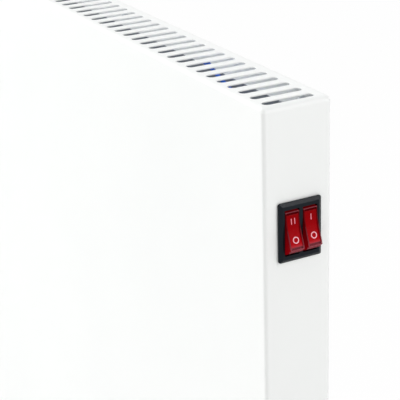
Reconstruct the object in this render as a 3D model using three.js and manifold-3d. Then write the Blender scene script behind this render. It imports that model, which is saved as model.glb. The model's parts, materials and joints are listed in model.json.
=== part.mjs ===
// Slim wall-hung electric convector heater, in millimetres, +Z up.
// The wall is the plane y = 0 and the heater hangs in front of it, towards -Y.
// The origin is the centre of the wall rail's back face, and the switch end is at +X.
import * as THREE from "three";
import { mergeVertices } from "three/addons/utils/BufferGeometryUtils.js";
import Module from "manifold-3d";

const wasm = await Module();
wasm.setup();

// Fits shared by all pieces
const seatGap = 0.3;
const overrun = 2;

// Casing: one folded, welded and ground tray of sheet steel
const casingLength = 640;
const casingHeight = 450;
const casingDepth = 38;
const casingSheet = 0.8;
const casingBend = 2.4;
const casingCorner = 3.2;
const returnFlange = 15;

// Air slots, the same row in the top and in the bottom
const slotPitch = 10.62;
const slotWidth = 5.2;
const slotFrontMargin = 3.7;
const slotRearMargin = 6.1;
const slotEndMargin = 5.5;

// Hanging: the rail on the wall, its two hooks and the lower spacers
const wallGap = 20;
const railDrop = 60;
const railLength = 480;
const railHeight = 36;
const railSheet = 1.5;
const railLip = 6;
const railSlotLength = 16;
const railSlotWidth = 5.5;
const railSlotInset = 30;
const railCentreSlotSpacing = 120;
const hookInset = 70;
const hookWidth = 22;
const hookTongue = 10;
const spacerInset = 80;
const spacerRise = 50;
const spacerPadRadius = 14;
const spacerPadThickness = 3;
const spacerNeckRadius = 8.5;
const spacerStubRadius = 3.7;
const spacerBarbRadius = 4.7;
const spacerBarbLength = 3;

// Rear panel with two pressed stiffening beads
const panelSheet = 0.8;
const panelInset = 3;
const beadLength = 380;
const beadWidth = 16;
const beadRise = 2.4;
const beadDrops = [150, 250];
const screwRadius = 1.6;
const screwLength = 6;
const screwHeadRadius = 3.5;
const screwHeadHeight = 2.2;
const screwColumns = 4;

// Heat shield and the two uprights that carry it
const shieldSetback = 18.5;
const shieldSheet = 0.6;
const shieldBottomRise = 6;
const shieldEndGap = 9;
const shieldFold = 8;
const uprightInset = 114;
const uprightWidth = 12;
const uprightSheet = 0.8;
const uprightEndGap = 16;

// Heating elements: a steel-sheathed rod in a finned aluminium extrusion, one for each stage
const finInsetLeft = 69;
const finInsetRight = 89;
const finHeight = 52;
const finGap = 10;
const finSpread = 12;
const finThickness = 1.2;
const finBossWall = 2;
const rodRadius = 3.9;
const rodReach = 12;
const lowerElementHeight = 90;
const bracketSheet = 1;
const bracketMargin = 34;
const bracketFrontGap = 1.2;
const bracketFoot = 12;
const bushShoulder = 3;
const bushWall = 1.8;
const bushShoulderWall = 3;

// Push-on blades and the receptacles on the leads
const bladeWidth = 6.3;
const bladeThickness = 0.8;
const bladeReach = 8;
const bladeRoot = 3;
const receptacleWall = 0.7;

// Overheat cut-out on the heat shield
const cutoutInset = 169;
const cutoutRise = 250;
const cutoutRadius = 8;
const cutoutHeight = 6;
const cutoutCapRadius = 5.5;
const cutoutCapHeight = 2;
const cutoutEarLength = 30;
const cutoutEarWidth = 9;
const cutoutBladeSpacing = 10;
const cutoutBladeWidth = 4.8;

// Terminal block, earth screw and cable gland, all on the rear panel near the switch end
const blockGap = 4;
const blockWays = 4;
const blockPitch = 9;
const blockDepth = 13;
const blockHeight = 20;
const blockRise = 105;
const blockEntryRadius = 1.7;
const blockEntryDepth = 6;
const blockCollarRadius = 3.2;
const blockCollarHeight = 1.6;
const earthGap = 14;
const earthLift = 45;
const earthShankRadius = 2;
const earthHeadRadius = 4;
const earthHeadHeight = 2.4;
const earthNutHeight = 3.2;
const glandRise = 55;
const glandBoreRadius = 4;
const glandBarrelRadius = 7.5;
const glandHexRadius = 10.5;
const glandHexHeight = 5;
const glandCapHeight = 7.5;
const glandCapRadius = 8.5;
const glandNutHeight = 4;
const glandBarrelReach = 7;

// Twin rocker switch in the end of the casing
const bezelWidth = 24.2;
const bezelHeight = 31;
const bezelThickness = 2;
const bezelChamfer = 1.7;
const bezelChamferRise = 1.1;
const bezelCorner = 1.2;
const bezelOffset = 0.4;
const bezelDrop = 48.7;
const bezelSideOverhang = 1.4;
const bezelEndOverhang = 1.9;
const bodyDepth = 20;
const bodySideWall = 1.45;
const bodyEndWall = 1.7;
const bodyMiddleWall = 1.9;
const pocketFloorClearance = 1;
const lugWidth = 8;
const lugRise = 1.2;
const lugLength = 6;
const openingClearance = 0.3;
const bladeGap = 1.9;
const bladeRowPitch = 16;
const switchBay = 60;
const switchBayHeight = 48;

// Rockers, measured from their pivot
const pivotDepth = 1.5;
const rockerClearance = 0.25;
const rockerEndClearance = 0.35;
const rockerTravel = THREE.MathUtils.degToRad(30);
const faceHeight = 6.2;
const faceSag = 1.1;
const faceBevel = 1;
const grooveWidth = 1.1;
const ridgeHeight = 6.6;
const ridgeWidth = 0.5;
const ridgeInset = 0.4;
const lipHeight = 5.6;
const lipInset = 1.65;
const skirtHeight = 4.9;
const rockerKeel = 3;
const rockerKeelInset = 1.95;
const rockerEdge = 0.2;
const trunnionRadius = 1.2;
const trunnionReach = 0.7;
const trunnionClearance = 0.12;

// Leads
const leadRadius = 1.1;
const ringRadius = 4.6;
const ringThickness = 0.8;
const grommetBoreRadius = 3;
const grommetWaistRadius = 4.6;
const grommetLipRadius = 6.4;
const grommetLip = 1.6;
const grommetInset = 84;
const grommetRise = 300;

// Facets: edges round a full circle, or along one arc where the name says so.
// An outline's arc gets two edges for each of its curve segments.
const arcShare = 1 / 2;
const cornerFacets = 4;
const bendFacets = 3;
const slotFacets = 3;
const beadFacets = 4;
const roundFacets = 16;
const holeFacets = 12;
const screwFacets = 8;
const hexFacets = 6;
const leadFacets = 6;
const leadStepsPerPoint = 2;
const faceFacets = 10;

// Places worked out from the sizes, in the cabinet's own frame:
// x = 0 in the middle, y = 0 on the front plane and z = 0 on the top plane
const endX = casingLength / 2;
const wallY = casingDepth + wallGap;
const panelInner = casingDepth + seatGap;
const panelOuter = panelInner + panelSheet;
const slotLength = casingDepth - slotFrontMargin - slotRearMargin;
const hookSpacing = railLength - 2 * hookInset;
const railSlotSpacing = railLength - 2 * railSlotInset;
const spacerX = endX - spacerInset;
const shieldFront = shieldSetback;
const shieldBack = shieldFront + shieldSheet;
const shieldTopDrop = casingSheet + 2 * leadRadius + 2 * seatGap;
const uprightX = endX - uprightInset;
const grommetX = endX - grommetInset;
const grommetZ = grommetRise - casingHeight;
const finLength = casingLength - finInsetLeft - finInsetRight;
const elementX = (finInsetLeft - finInsetRight) / 2;
const elementY = (casingSheet + shieldFront) / 2;
const elementPitch = finHeight + finGap;
const elementTwoZ = lowerElementHeight - casingHeight;
const elementOneZ = elementTwoZ + elementPitch;
const cutoutX = endX - cutoutInset;
const cutoutZ = cutoutRise - casingHeight;
const serviceX = endX - returnFlange - blockGap - (blockWays * blockPitch) / 2;
const blockZ = blockRise - casingHeight;
const blockBack = panelInner - seatGap;
const blockEntryY = blockBack - blockDepth / 2;
const earthX = endX - returnFlange - earthGap;
const earthZ = blockZ + earthLift;
const glandZ = glandRise - casingHeight;
const switchY = casingDepth / 2 + bezelOffset;
const switchZ = -bezelDrop - bezelHeight / 2;
const rodClearRadius = rodRadius + seatGap;
const bushBarrelRadius = rodClearRadius + bushWall;

// Switch body inside the bezel, its two pockets, and the rocker that fills a pocket
const bodyWidth = bezelWidth - 2 * bezelSideOverhang;
const bodyHeight = bezelHeight - 2 * bezelEndOverhang;
const pocketWidth = (bodyWidth - bodyMiddleWall) / 2 - bodySideWall;
const pocketHeight = bodyHeight - 2 * bodyEndWall;
const pocketPitch = pocketWidth + bodyMiddleWall;
const rockerSweep = pocketHeight / 2 - rockerEndClearance;
const lipHalfLength = rockerSweep - lipInset;
const ridgeHalfLength = lipHalfLength - ridgeInset - ridgeWidth;
const faceHalfLength = ridgeHalfLength - grooveWidth;
const rockerKeelHalfLength = rockerSweep - rockerKeelInset;
const keelAngle = Math.acos(rockerKeelHalfLength / rockerSweep);
const rockerReach = rockerSweep * Math.sin((keelAngle + rockerTravel) / 2);
const pocketFloor = pivotDepth + rockerReach + pocketFloorClearance;

// Materials
function finish(color, roughness, metalness) {
  return new THREE.MeshStandardMaterial({ color, roughness, metalness, flatShading: true });
}
const whiteEnamel = finish(0xf4f5f4, 0.45, 0);
const zincSteel = finish(0xb9bdbf, 0.4, 0.8);
const darkSteel = finish(0x4a4d50, 0.55, 0.7);
const aluminium = finish(0xc8cbce, 0.35, 0.9);
const sheathSteel = finish(0x6f6a62, 0.4, 0.8);
const steatite = finish(0xe8e2d2, 0.6, 0);
const nickelBrass = finish(0xcfc7a8, 0.3, 0.9);
const blackPolyamide = finish(0x23282d, 0.5, 0);
const redPolycarbonate = finish(0xa8060c, 0.2, 0);
const palePolyamide = finish(0xe3e1d8, 0.5, 0);
const blackRubber = finish(0x1d1d1e, 0.8, 0);
const blueSilicone = finish(0x1f4fa0, 0.55, 0);
const brownSilicone = finish(0x5a3420, 0.55, 0);
const greenSilicone = finish(0x5d9a2e, 0.55, 0);

// A closed geometry as a solid that can be joined and cut
function solidOf(geometry) {
  const bare = geometry.index ? geometry.toNonIndexed() : geometry.clone();
  bare.deleteAttribute("normal");
  bare.deleteAttribute("uv");
  const merged = mergeVertices(bare);
  return new wasm.Manifold(
    new wasm.Mesh({
      numProp: 3,
      vertProperties: merged.attributes.position.array,
      triVerts: new Uint32Array(merged.index.array),
    }),
  );
}

function geometryOf(solid) {
  const mesh = solid.getMesh();
  const geometry = new THREE.BufferGeometry();
  geometry.setAttribute("position", new THREE.BufferAttribute(mesh.vertProperties, 3));
  geometry.setIndex(new THREE.BufferAttribute(mesh.triVerts, 1));
  geometry.computeVertexNormals();
  return geometry;
}

function joined(...solids) {
  return solids.reduce((whole, piece) => whole.add(piece));
}

function cut(body, ...cutters) {
  return cutters.reduce((left, cutter) => left.subtract(cutter), body);
}

// A box between two opposite corners
function block(low, high) {
  const geometry = new THREE.BoxGeometry(high[0] - low[0], high[1] - low[1], high[2] - low[2]);
  geometry.translate((low[0] + high[0]) / 2, (low[1] + high[1]) / 2, (low[2] + high[2]) / 2);
  return solidOf(geometry);
}

// Turns a geometry made along +Z so that it runs along another axis.
// Along X its outline reads (y, z), and along Y it reads (x, z) and runs back from the far end.
function turnedAlong(axis, geometry) {
  if (axis !== "z") geometry.rotateX(Math.PI / 2);
  if (axis === "x") geometry.rotateZ(Math.PI / 2);
  return geometry;
}

// An outline carried along an axis from one place to another
function prism(axis, outline, from, to, arcFacets = cornerFacets) {
  const geometry = new THREE.ExtrudeGeometry(outline, {
    depth: to - from,
    bevelEnabled: false,
    curveSegments: arcFacets * arcShare,
  });
  turnedAlong(axis, geometry);
  const start = { x: [from, 0, 0], y: [0, to, 0], z: [0, 0, from] };
  geometry.translate(...start[axis]);
  return solidOf(geometry);
}

// A straight round bar along an axis, through a point given by its two other coordinates in order
function bar(axis, radius, from, to, first, second, facets = roundFacets) {
  const geometry = new THREE.CylinderGeometry(radius, radius, to - from, facets);
  geometry.rotateX(Math.PI / 2);
  turnedAlong(axis, geometry);
  const middle = (from + to) / 2;
  const place = { x: [middle, first, second], y: [first, middle, second], z: [first, second, middle] };
  geometry.translate(...place[axis]);
  return solidOf(geometry);
}

// A turned solid: its profile is radius and distance, carried round the Y axis
function turned(profile, facets = roundFacets) {
  const points = profile.map(([radius, distance]) => new THREE.Vector2(radius, distance));
  return solidOf(new THREE.LatheGeometry(points, facets));
}

function polygon(points) {
  return new THREE.Shape(points.map(([a, b]) => new THREE.Vector2(a, b)));
}

function roundedRectangle(width, height, radius) {
  const right = width / 2;
  const top = height / 2;
  const shape = new THREE.Shape();
  shape.moveTo(radius - right, -top);
  shape.lineTo(right - radius, -top);
  shape.absarc(right - radius, radius - top, radius, -Math.PI / 2, 0, false);
  shape.absarc(right - radius, top - radius, radius, 0, Math.PI / 2, false);
  shape.absarc(radius - right, top - radius, radius, Math.PI / 2, Math.PI, false);
  shape.absarc(radius - right, radius - top, radius, Math.PI, Math.PI * 1.5, false);
  return shape;
}

// A straight slot with round ends, its length along the outline's second axis
function stadium(width, length, x = 0, y = 0) {
  const radius = width / 2;
  const reach = length / 2 - radius;
  const shape = new THREE.Shape();
  shape.absarc(x, y + reach, radius, 0, Math.PI, false);
  shape.absarc(x, y - reach, radius, Math.PI, Math.PI * 2, false);
  return shape;
}

// A block whose outline and long edges are rounded, from y = 0 backwards, middle at x = 0 and z = 0
function softBlock(length, depth, height, corner, bend) {
  const geometry = new THREE.ExtrudeGeometry(roundedRectangle(length, height, corner), {
    depth: depth - 2 * bend,
    bevelThickness: bend,
    bevelSize: bend,
    bevelOffset: -bend,
    bevelSegments: bendFacets,
    curveSegments: cornerFacets * arcShare,
  });
  geometry.rotateX(Math.PI / 2);
  geometry.translate(0, depth - bend, 0);
  return solidOf(geometry);
}

// Centres of a row of equal steps about zero
function rowOf(count, pitch) {
  return Array.from({ length: count }, (_, i) => (i - (count - 1) / 2) * pitch);
}

// Named pieces in their groups
const heater = new THREE.Group();
const cabinet = new THREE.Group();
cabinet.position.set(0, -wallY, railDrop);
heater.add(cabinet);

function addPiece(group, name, solid, material) {
  const mesh = new THREE.Mesh(geometryOf(solid), material);
  mesh.name = name;
  group.add(mesh);
  return mesh;
}

function switchOpening(overallDepth) {
  const across = bodyWidth / 2 + openingClearance;
  const up = bodyHeight / 2 + openingClearance;
  return block(
    [endX - overallDepth, switchY - across, switchZ - up],
    [endX + overrun, switchY + across, switchZ + up],
  );
}

// Screw places on the rear panel, as x and z
function rearScrewPlaces() {
  const sideX = endX - returnFlange / 2;
  const edgeX = sideX - returnFlange;
  const topZ = -returnFlange / 2;
  const bottomZ = -casingHeight - topZ;
  const columnPitch = (2 * edgeX) / (screwColumns - 1);
  const columns = rowOf(screwColumns, columnPitch);
  const rows = columns.flatMap((x) => [
    [x, topZ],
    [x, bottomZ],
  ]);
  const sides = [-sideX, sideX].map((x) => [x, -casingHeight / 2]);
  return [...rows, ...sides];
}

function frontCasing() {
  const outer = softBlock(casingLength, casingDepth, casingHeight, casingCorner, casingBend);
  const inner = softBlock(
    casingLength - 2 * casingSheet,
    casingDepth - 2 * casingSheet,
    casingHeight - 2 * casingSheet,
    casingCorner - casingSheet,
    casingBend - casingSheet,
  ).translate([0, casingSheet, 0]);
  const shell = cut(outer, inner).translate([0, 0, -casingHeight / 2]);
  const backWindow = block(
    [returnFlange - endX, casingDepth - casingSheet - overrun, returnFlange - casingHeight],
    [endX - returnFlange, casingDepth + overrun, -returnFlange],
  );
  const slotCount = Math.floor((casingLength - 2 * slotEndMargin) / slotPitch) + 1;
  const slotMiddle = slotFrontMargin + slotLength / 2;
  const slots = rowOf(slotCount, slotPitch).flatMap((x) => {
    const outline = stadium(slotWidth, slotLength, x, slotMiddle);
    return [
      prism("z", outline, -casingSheet - overrun, overrun, slotFacets),
      prism("z", outline, -casingHeight - overrun, casingSheet + overrun - casingHeight, slotFacets),
    ];
  });
  const screwHoles = rearScrewPlaces().map(([x, z]) =>
    bar("y", screwRadius + seatGap, casingDepth - casingSheet - overrun, casingDepth + overrun, x, z, screwFacets),
  );
  return cut(shell, backWindow, switchOpening(casingSheet + overrun), ...slots, ...screwHoles);
}

// A long bead pressed out of the rear panel: outer form less the same form one sheet smaller
function bead(x, z) {
  const form = (shrink) => {
    const outline = stadium(beadWidth - 2 * shrink, beadLength - 2 * shrink);
    const rise = beadRise + panelSheet - shrink;
    const geometry = new THREE.ExtrudeGeometry(outline, {
      depth: overrun,
      bevelThickness: rise,
      bevelSize: rise,
      bevelOffset: -rise,
      bevelSegments: 1,
      curveSegments: beadFacets * arcShare,
    });
    geometry.rotateZ(Math.PI / 2);
    geometry.rotateX(Math.PI / 2);
    geometry.translate(x, panelInner, z);
    return solidOf(geometry);
  };
  const front = block(
    [-casingLength, panelInner - casingDepth, -casingHeight],
    [casingLength, panelInner, casingHeight],
  );
  return { outer: cut(form(0), front), inner: form(panelSheet) };
}

function rearPanel() {
  const outline = roundedRectangle(
    casingLength - 2 * panelInset,
    casingHeight - 2 * panelInset,
    casingCorner,
  );
  const plate = prism("y", outline, panelInner, panelOuter).translate([0, 0, -casingHeight / 2]);
  const beads = beadDrops.map((drop) => bead(0, -drop));
  const hookTop = seatGap + railSheet / 2 - railDrop;
  const hookSlots = [-1, 1].map((side) =>
    block(
      [(side * hookSpacing - hookWidth) / 2 - overrun, panelInner - overrun, hookTop - hookTongue - 2 * railSheet],
      [(side * hookSpacing + hookWidth) / 2 + overrun, panelOuter + overrun, hookTop],
    ),
  );
  const through = (radius, x, z, facets) =>
    bar("y", radius, panelInner - overrun, panelOuter + overrun, x, z, facets);
  const holes = [
    ...rearScrewPlaces().map(([x, z]) => through(screwRadius + seatGap, x, z, screwFacets)),
    ...[-spacerX, spacerX].map((x) =>
      through(spacerStubRadius + seatGap, x, spacerRise - casingHeight, holeFacets),
    ),
    through(glandBarrelRadius + seatGap, serviceX, glandZ, roundFacets),
    through(earthShankRadius + seatGap, earthX, earthZ, holeFacets),
  ];
  const pressed = joined(plate, ...beads.map((one) => one.outer));
  return cut(pressed, ...beads.map((one) => one.inner), ...hookSlots, ...holes);
}

// Folded plate with a fold turned back at each end, and bays cut out round the switch and the terminals
function heatShield() {
  const half = endX - shieldEndGap;
  const outline = polygon([
    [-half, shieldFront],
    [half, shieldFront],
    [half, shieldFront + shieldFold],
    [half - shieldSheet, shieldFront + shieldFold],
    [half - shieldSheet, shieldBack],
    [shieldSheet - half, shieldBack],
    [shieldSheet - half, shieldFront + shieldFold],
    [-half, shieldFront + shieldFold],
  ]);
  const plate = prism("z", outline, shieldBottomRise - casingHeight, -shieldTopDrop);
  const bay = block(
    [endX - switchBay, 0, switchZ - switchBayHeight / 2],
    [endX, casingDepth, switchZ + switchBayHeight / 2],
  );
  const terminalBay = block(
    [serviceX - blockWays * blockPitch, 0, -casingHeight],
    [endX, casingDepth, blockZ + blockHeight],
  );
  const grommetHole = bar(
    "y",
    grommetWaistRadius + seatGap,
    shieldFront - overrun,
    shieldBack + overrun,
    grommetX,
    grommetZ,
    holeFacets,
  );
  return cut(plate, bay, terminalBay, grommetHole);
}

function shieldGrommet() {
  const waist = shieldSheet / 2 + seatGap;
  const side = waist + grommetLip;
  return turned(
    [
      [grommetBoreRadius, -side],
      [grommetLipRadius, -side],
      [grommetLipRadius, -waist],
      [grommetWaistRadius, -waist],
      [grommetWaistRadius, waist],
      [grommetLipRadius, waist],
      [grommetLipRadius, side],
      [grommetBoreRadius, side],
      [grommetBoreRadius, -side],
    ],
    holeFacets,
  );
}

// Channel between the heat shield and the rear panel, middle of its section at the origin
function upright() {
  const depth = panelInner - shieldBack - 2 * seatGap;
  const across = uprightWidth / 2;
  const deep = depth / 2;
  const outline = polygon([
    [-across, -deep],
    [across, -deep],
    [across, uprightSheet - deep],
    [uprightSheet - across, uprightSheet - deep],
    [uprightSheet - across, deep - uprightSheet],
    [across, deep - uprightSheet],
    [across, deep],
    [-across, deep],
  ]);
  return prism("z", outline, uprightEndGap - casingHeight, -uprightEndGap);
}

// Extrusion with four fins that leave the boss at an angle and then stand upright, about the origin
function elementFins() {
  const bossRadius = rodClearRadius + finBossWall;
  const outX = finSpread / 2 - finThickness;
  const standFrom = bossRadius;
  const boss = bar("x", bossRadius, -finLength / 2, finLength / 2, 0, 0, holeFacets);
  const fins = [-1, 1].flatMap((up) =>
    [-1, 1].map((side) => {
      const points = [
        [0, up * rodClearRadius],
        [side * outX, up * standFrom],
        [side * outX, up * (finHeight / 2)],
        [side * (outX + finThickness), up * (finHeight / 2)],
        [side * (outX + finThickness), up * (standFrom - finThickness)],
        [side * finThickness, up * (rodClearRadius - finThickness)],
      ];
      return prism("x", polygon(up * side > 0 ? points : points.reverse()), -finLength / 2, finLength / 2);
    }),
  );
  const bore = bar("x", rodClearRadius, -finLength / 2 - overrun, finLength / 2 + overrun, 0, 0, holeFacets);
  return cut(joined(boss, ...fins), bore);
}

function elementRod() {
  const reach = finLength / 2 + rodReach;
  const sheath = bar("x", rodRadius, -reach, reach, 0, 0, holeFacets);
  const blades = [-1, 1].map((side) => {
    const near = side * (reach - overrun);
    const far = side * (reach + bladeReach);
    return block(
      [Math.min(near, far), -bladeThickness / 2, -bladeWidth / 2],
      [Math.max(near, far), bladeThickness / 2, bladeWidth / 2],
    );
  });
  return joined(sheath, ...blades);
}

// Plate across the front duct with a foot on the heat shield, its plate's outer face at x = 0
function elementBracket() {
  const front = casingSheet + bracketFrontGap - elementY;
  const back = shieldFront - seatGap - elementY;
  const outline = polygon([
    [-bracketSheet, front],
    [0, front],
    [0, back],
    [-bracketFoot, back],
    [-bracketFoot, back - bracketSheet],
    [-bracketSheet, back - bracketSheet],
  ]);
  const plate = prism("z", outline, -bracketMargin, elementPitch + bracketMargin);
  const holes = [0, elementPitch].map((z) =>
    bar("x", bushBarrelRadius + seatGap, -bracketSheet - overrun, overrun, 0, z, roundFacets),
  );
  return cut(plate, ...holes);
}

// Ceramic collar, its shoulder against the inner face of the bracket, along +Y from the shoulder
function elementBush() {
  const shoulderRadius = rodClearRadius + bushShoulderWall;
  const end = bushShoulder + bracketSheet + 2 * seatGap + bushShoulder;
  return turned([
    [rodClearRadius, 0],
    [shoulderRadius, 0],
    [shoulderRadius, bushShoulder],
    [bushBarrelRadius, bushShoulder],
    [bushBarrelRadius, end],
    [rodClearRadius, end],
    [rodClearRadius, 0],
  ]);
}

// Bimetal disc body with its ears and two blades, its ears' back face at y = 0
function overheatCutout() {
  const body = bar("y", cutoutRadius, -cutoutHeight - bladeThickness, 0, 0, 0);
  const cap = bar(
    "y",
    cutoutCapRadius,
    -cutoutHeight - bladeThickness - cutoutCapHeight,
    -cutoutHeight,
    0,
    0,
  );
  const ears = block(
    [-cutoutEarLength / 2, -bladeThickness, -cutoutEarWidth / 2],
    [cutoutEarLength / 2, 0, cutoutEarWidth / 2],
  );
  const blades = rowOf(2, cutoutBladeSpacing).map((x) =>
    block(
      [x - cutoutBladeWidth / 2, -cutoutHeight, 0],
      [x + cutoutBladeWidth / 2, bladeThickness - cutoutHeight, cutoutRadius + bladeReach],
    ),
  );
  return joined(body, cap, ears, ...blades);
}

// Moulded block with an entry at the top and bottom of each way and a raised screw collar in front
function terminalBlock() {
  const half = (blockWays * blockPitch) / 2;
  const up = blockHeight / 2;
  const body = block([-half, -blockDepth, -up], [half, 0, up]);
  const ways = rowOf(blockWays, blockPitch);
  const collars = ways.map((x) =>
    bar("y", blockCollarRadius, -blockDepth - blockCollarHeight, -blockDepth / 2, x, 0, screwFacets),
  );
  const screwWells = ways.map((x) =>
    bar("y", blockEntryRadius, -blockDepth - overrun - blockCollarHeight, -blockDepth, x, 0, screwFacets),
  );
  const entries = ways.flatMap((x) =>
    [-1, 1].map((side) => {
      const mouth = side * (up + overrun);
      const end = side * (up - blockEntryDepth);
      return bar("z", blockEntryRadius, Math.min(mouth, end), Math.max(mouth, end), x, -blockDepth / 2, hexFacets);
    }),
  );
  return cut(joined(body, ...collars), ...screwWells, ...entries);
}

function cableGland() {
  const hexFrom = panelOuter + seatGap;
  const capFrom = hexFrom + glandHexHeight;
  const hex = bar("y", glandHexRadius, hexFrom, capFrom, 0, 0, hexFacets);
  const barrel = bar("y", glandBarrelRadius, panelInner - glandBarrelReach, capFrom, 0, 0);
  const cap = turned([
    [0, capFrom - overrun],
    [glandCapRadius, capFrom - overrun],
    [glandCapRadius, capFrom + glandCapHeight / 2],
    [glandBarrelRadius, capFrom + glandCapHeight],
    [0, capFrom + glandCapHeight],
  ]);
  const bore = bar("y", glandBoreRadius, 0, wallY, 0, 0);
  return cut(joined(hex, barrel, cap), bore);
}

function glandNut() {
  const far = panelInner - seatGap;
  const hex = bar("y", glandHexRadius, far - glandNutHeight, far, 0, 0, hexFacets);
  return cut(hex, bar("y", glandBarrelRadius + seatGap, 0, wallY, 0, 0));
}

// Screw from behind the rear panel, its nut inside over the ring of the earth lead
function earthScrew() {
  const headFrom = panelOuter + seatGap;
  const shankFrom = panelInner - seatGap - ringThickness - seatGap - earthNutHeight - seatGap;
  const head = bar("y", earthHeadRadius, headFrom, headFrom + earthHeadHeight, 0, 0, holeFacets);
  const shank = bar("y", earthShankRadius, shankFrom, headFrom + earthHeadHeight / 2, 0, 0, holeFacets);
  return joined(head, shank);
}

function earthNut() {
  const far = panelInner - 2 * seatGap - ringThickness;
  const hex = bar("y", earthHeadRadius, far - earthNutHeight, far, 0, 0, hexFacets);
  return cut(hex, bar("y", earthShankRadius + seatGap, 0, wallY, 0, 0, holeFacets));
}

// Pan-head screw with its head's seat at y = 0 and its shank towards -Y
function rearScrew() {
  return turned(
    [
      [0, -screwLength],
      [screwRadius, -screwLength + screwRadius],
      [screwRadius, 0],
      [screwHeadRadius, 0],
      [screwHeadRadius, screwHeadHeight / 2],
      [screwHeadRadius / 2, screwHeadHeight],
      [0, screwHeadHeight],
    ],
    screwFacets,
  );
}

// Buffer clipped into the rear panel that keeps the lower edge off the wall
function wallSpacer() {
  const seat = panelOuter + seatGap;
  const barbFrom = panelInner - seatGap;
  return turned([
    [0, barbFrom - spacerBarbLength],
    [spacerStubRadius, barbFrom - spacerBarbLength],
    [spacerBarbRadius, barbFrom],
    [spacerStubRadius, barbFrom],
    [spacerStubRadius, seat],
    [spacerNeckRadius, seat],
    [spacerNeckRadius, wallY - 2 * spacerPadThickness],
    [spacerPadRadius, wallY - spacerPadThickness],
    [spacerPadRadius, wallY],
    [0, wallY],
  ]);
}

// Lipped rail with two hooks, on the wall plane y = 0, and slots for the wall screws
function wallRail() {
  const up = railHeight / 2;
  const outline = polygon([
    [0, -up],
    [0, up],
    [-railLip, up],
    [-railLip, up - railSheet],
    [-railSheet, up - railSheet],
    [-railSheet, railSheet - up],
    [-railLip, railSheet - up],
    [-railLip, -up],
  ]);
  const rail = prism("x", outline, -railLength / 2, railLength / 2);
  const tongueFar = panelInner - wallY - seatGap;
  const hooks = [-1, 1].flatMap((side) => {
    const low = (side * hookSpacing - hookWidth) / 2;
    const high = low + hookWidth;
    return [
      block([low, tongueFar - railSheet, -railSheet / 2], [high, -railSheet / 2, railSheet / 2]),
      block([low, tongueFar - railSheet, -railSheet / 2], [high, tongueFar, railSheet / 2 + hookTongue]),
    ];
  });
  const slotAt = (x) =>
    prism("y", stadium(railSlotWidth, railSlotLength, x, 0), -railSheet - overrun, overrun);
  const wallSlots = [...rowOf(2, railSlotSpacing), ...rowOf(2, railCentreSlotSpacing)].map(slotAt);
  return cut(joined(rail, ...hooks), ...wallSlots);
}

// Switch housing about the bezel's middle on the end plane, with +X outwards
function switchHousing() {
  const outline = polygon([
    [-bezelWidth / 2, -bezelHeight / 2],
    [bezelWidth / 2, -bezelHeight / 2],
    [bezelWidth / 2, bezelHeight / 2],
    [-bezelWidth / 2, bezelHeight / 2],
  ]);
  const plate = new THREE.ExtrudeGeometry(outline, {
    depth: 2 * (bezelThickness - bezelChamferRise),
    bevelThickness: bezelChamferRise,
    bevelSize: bezelChamfer,
    bevelOffset: -bezelChamfer,
    bevelSegments: 1,
  });
  turnedAlong("x", plate);
  plate.translate(bezelChamferRise - bezelThickness + seatGap, 0, 0);
  const backHalf = block(
    [-bodyDepth, -bezelWidth, -bezelHeight],
    [seatGap, bezelWidth, bezelHeight],
  );
  const rounded = roundedRectangle(bezelWidth, bezelHeight, bezelCorner);
  const rim = prism("x", rounded, -bezelThickness, bezelThickness + overrun);
  const bezel = cut(solidOf(plate).intersect(rim), backHalf);
  const body = block(
    [-bodyDepth, -bodyWidth / 2, -bodyHeight / 2],
    [seatGap + bezelThickness / 2, bodyWidth / 2, bodyHeight / 2],
  );
  const lugFrom = -casingSheet - seatGap;
  const lugs = [-1, 1].map((side) => {
    const root = (side * bodyHeight) / 2;
    const points = [
      [lugFrom, root - side * lugRise],
      [lugFrom, root + side * lugRise],
      [lugFrom - lugLength, root],
      [lugFrom - lugLength, root - side * lugRise],
    ];
    return prism("y", polygon(side > 0 ? points.reverse() : points), -lugWidth / 2, lugWidth / 2);
  });
  const pockets = rowOf(2, pocketPitch).map((y) =>
    block(
      [-pocketFloor, y - pocketWidth / 2, -pocketHeight / 2],
      [bezelThickness + overrun, y + pocketWidth / 2, pocketHeight / 2],
    ),
  );
  const bearingReach = pocketWidth / 2 - rockerClearance + trunnionReach + seatGap / 2;
  const bearings = rowOf(2, pocketPitch).map((y) =>
    bar(
      "y",
      trunnionRadius + 2 * trunnionClearance,
      y - bearingReach,
      y + bearingReach,
      -pivotDepth,
      0,
      roundFacets,
    ),
  );
  const bladeSlots = bladePlaces().map(([y, z]) =>
    block(
      [-bodyDepth - overrun, y - bladeWidth / 2 - seatGap, z - bladeThickness / 2 - seatGap],
      [bladeRoot + seatGap - bodyDepth, y + bladeWidth / 2 + seatGap, z + bladeThickness / 2 + seatGap],
    ),
  );
  return cut(joined(bezel, body, ...lugs), ...pockets, ...bearings, ...bladeSlots);
}

// Blade places on the back of the switch, as y and z: neutral, line, stage one, stage two
function bladePlaces() {
  const across = (bladeWidth + bladeGap) / 2 + seatGap + receptacleWall;
  const up = bladeRowPitch / 2;
  return [
    [-across, up],
    [across, up],
    [-across, -up],
    [across, -up],
  ];
}

function switchBlade() {
  return block(
    [-bodyDepth - bladeReach, -bladeWidth / 2, -bladeThickness / 2],
    [bladeRoot - bodyDepth, bladeWidth / 2, bladeThickness / 2],
  );
}

// An outline carried across the rocker, drawn in by the same bevel at both sides
function acrossRocker(outline, bevel) {
  const width = pocketWidth - 2 * rockerClearance;
  const geometry = new THREE.ExtrudeGeometry(outline, {
    depth: width - 2 * bevel,
    bevelThickness: bevel,
    bevelSize: bevel,
    bevelOffset: -bevel,
    bevelSegments: 1,
    curveSegments: faceFacets * arcShare,
  });
  geometry.rotateX(Math.PI / 2);
  geometry.translate(0, width / 2 - bevel, 0);
  return solidOf(geometry);
}

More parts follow.
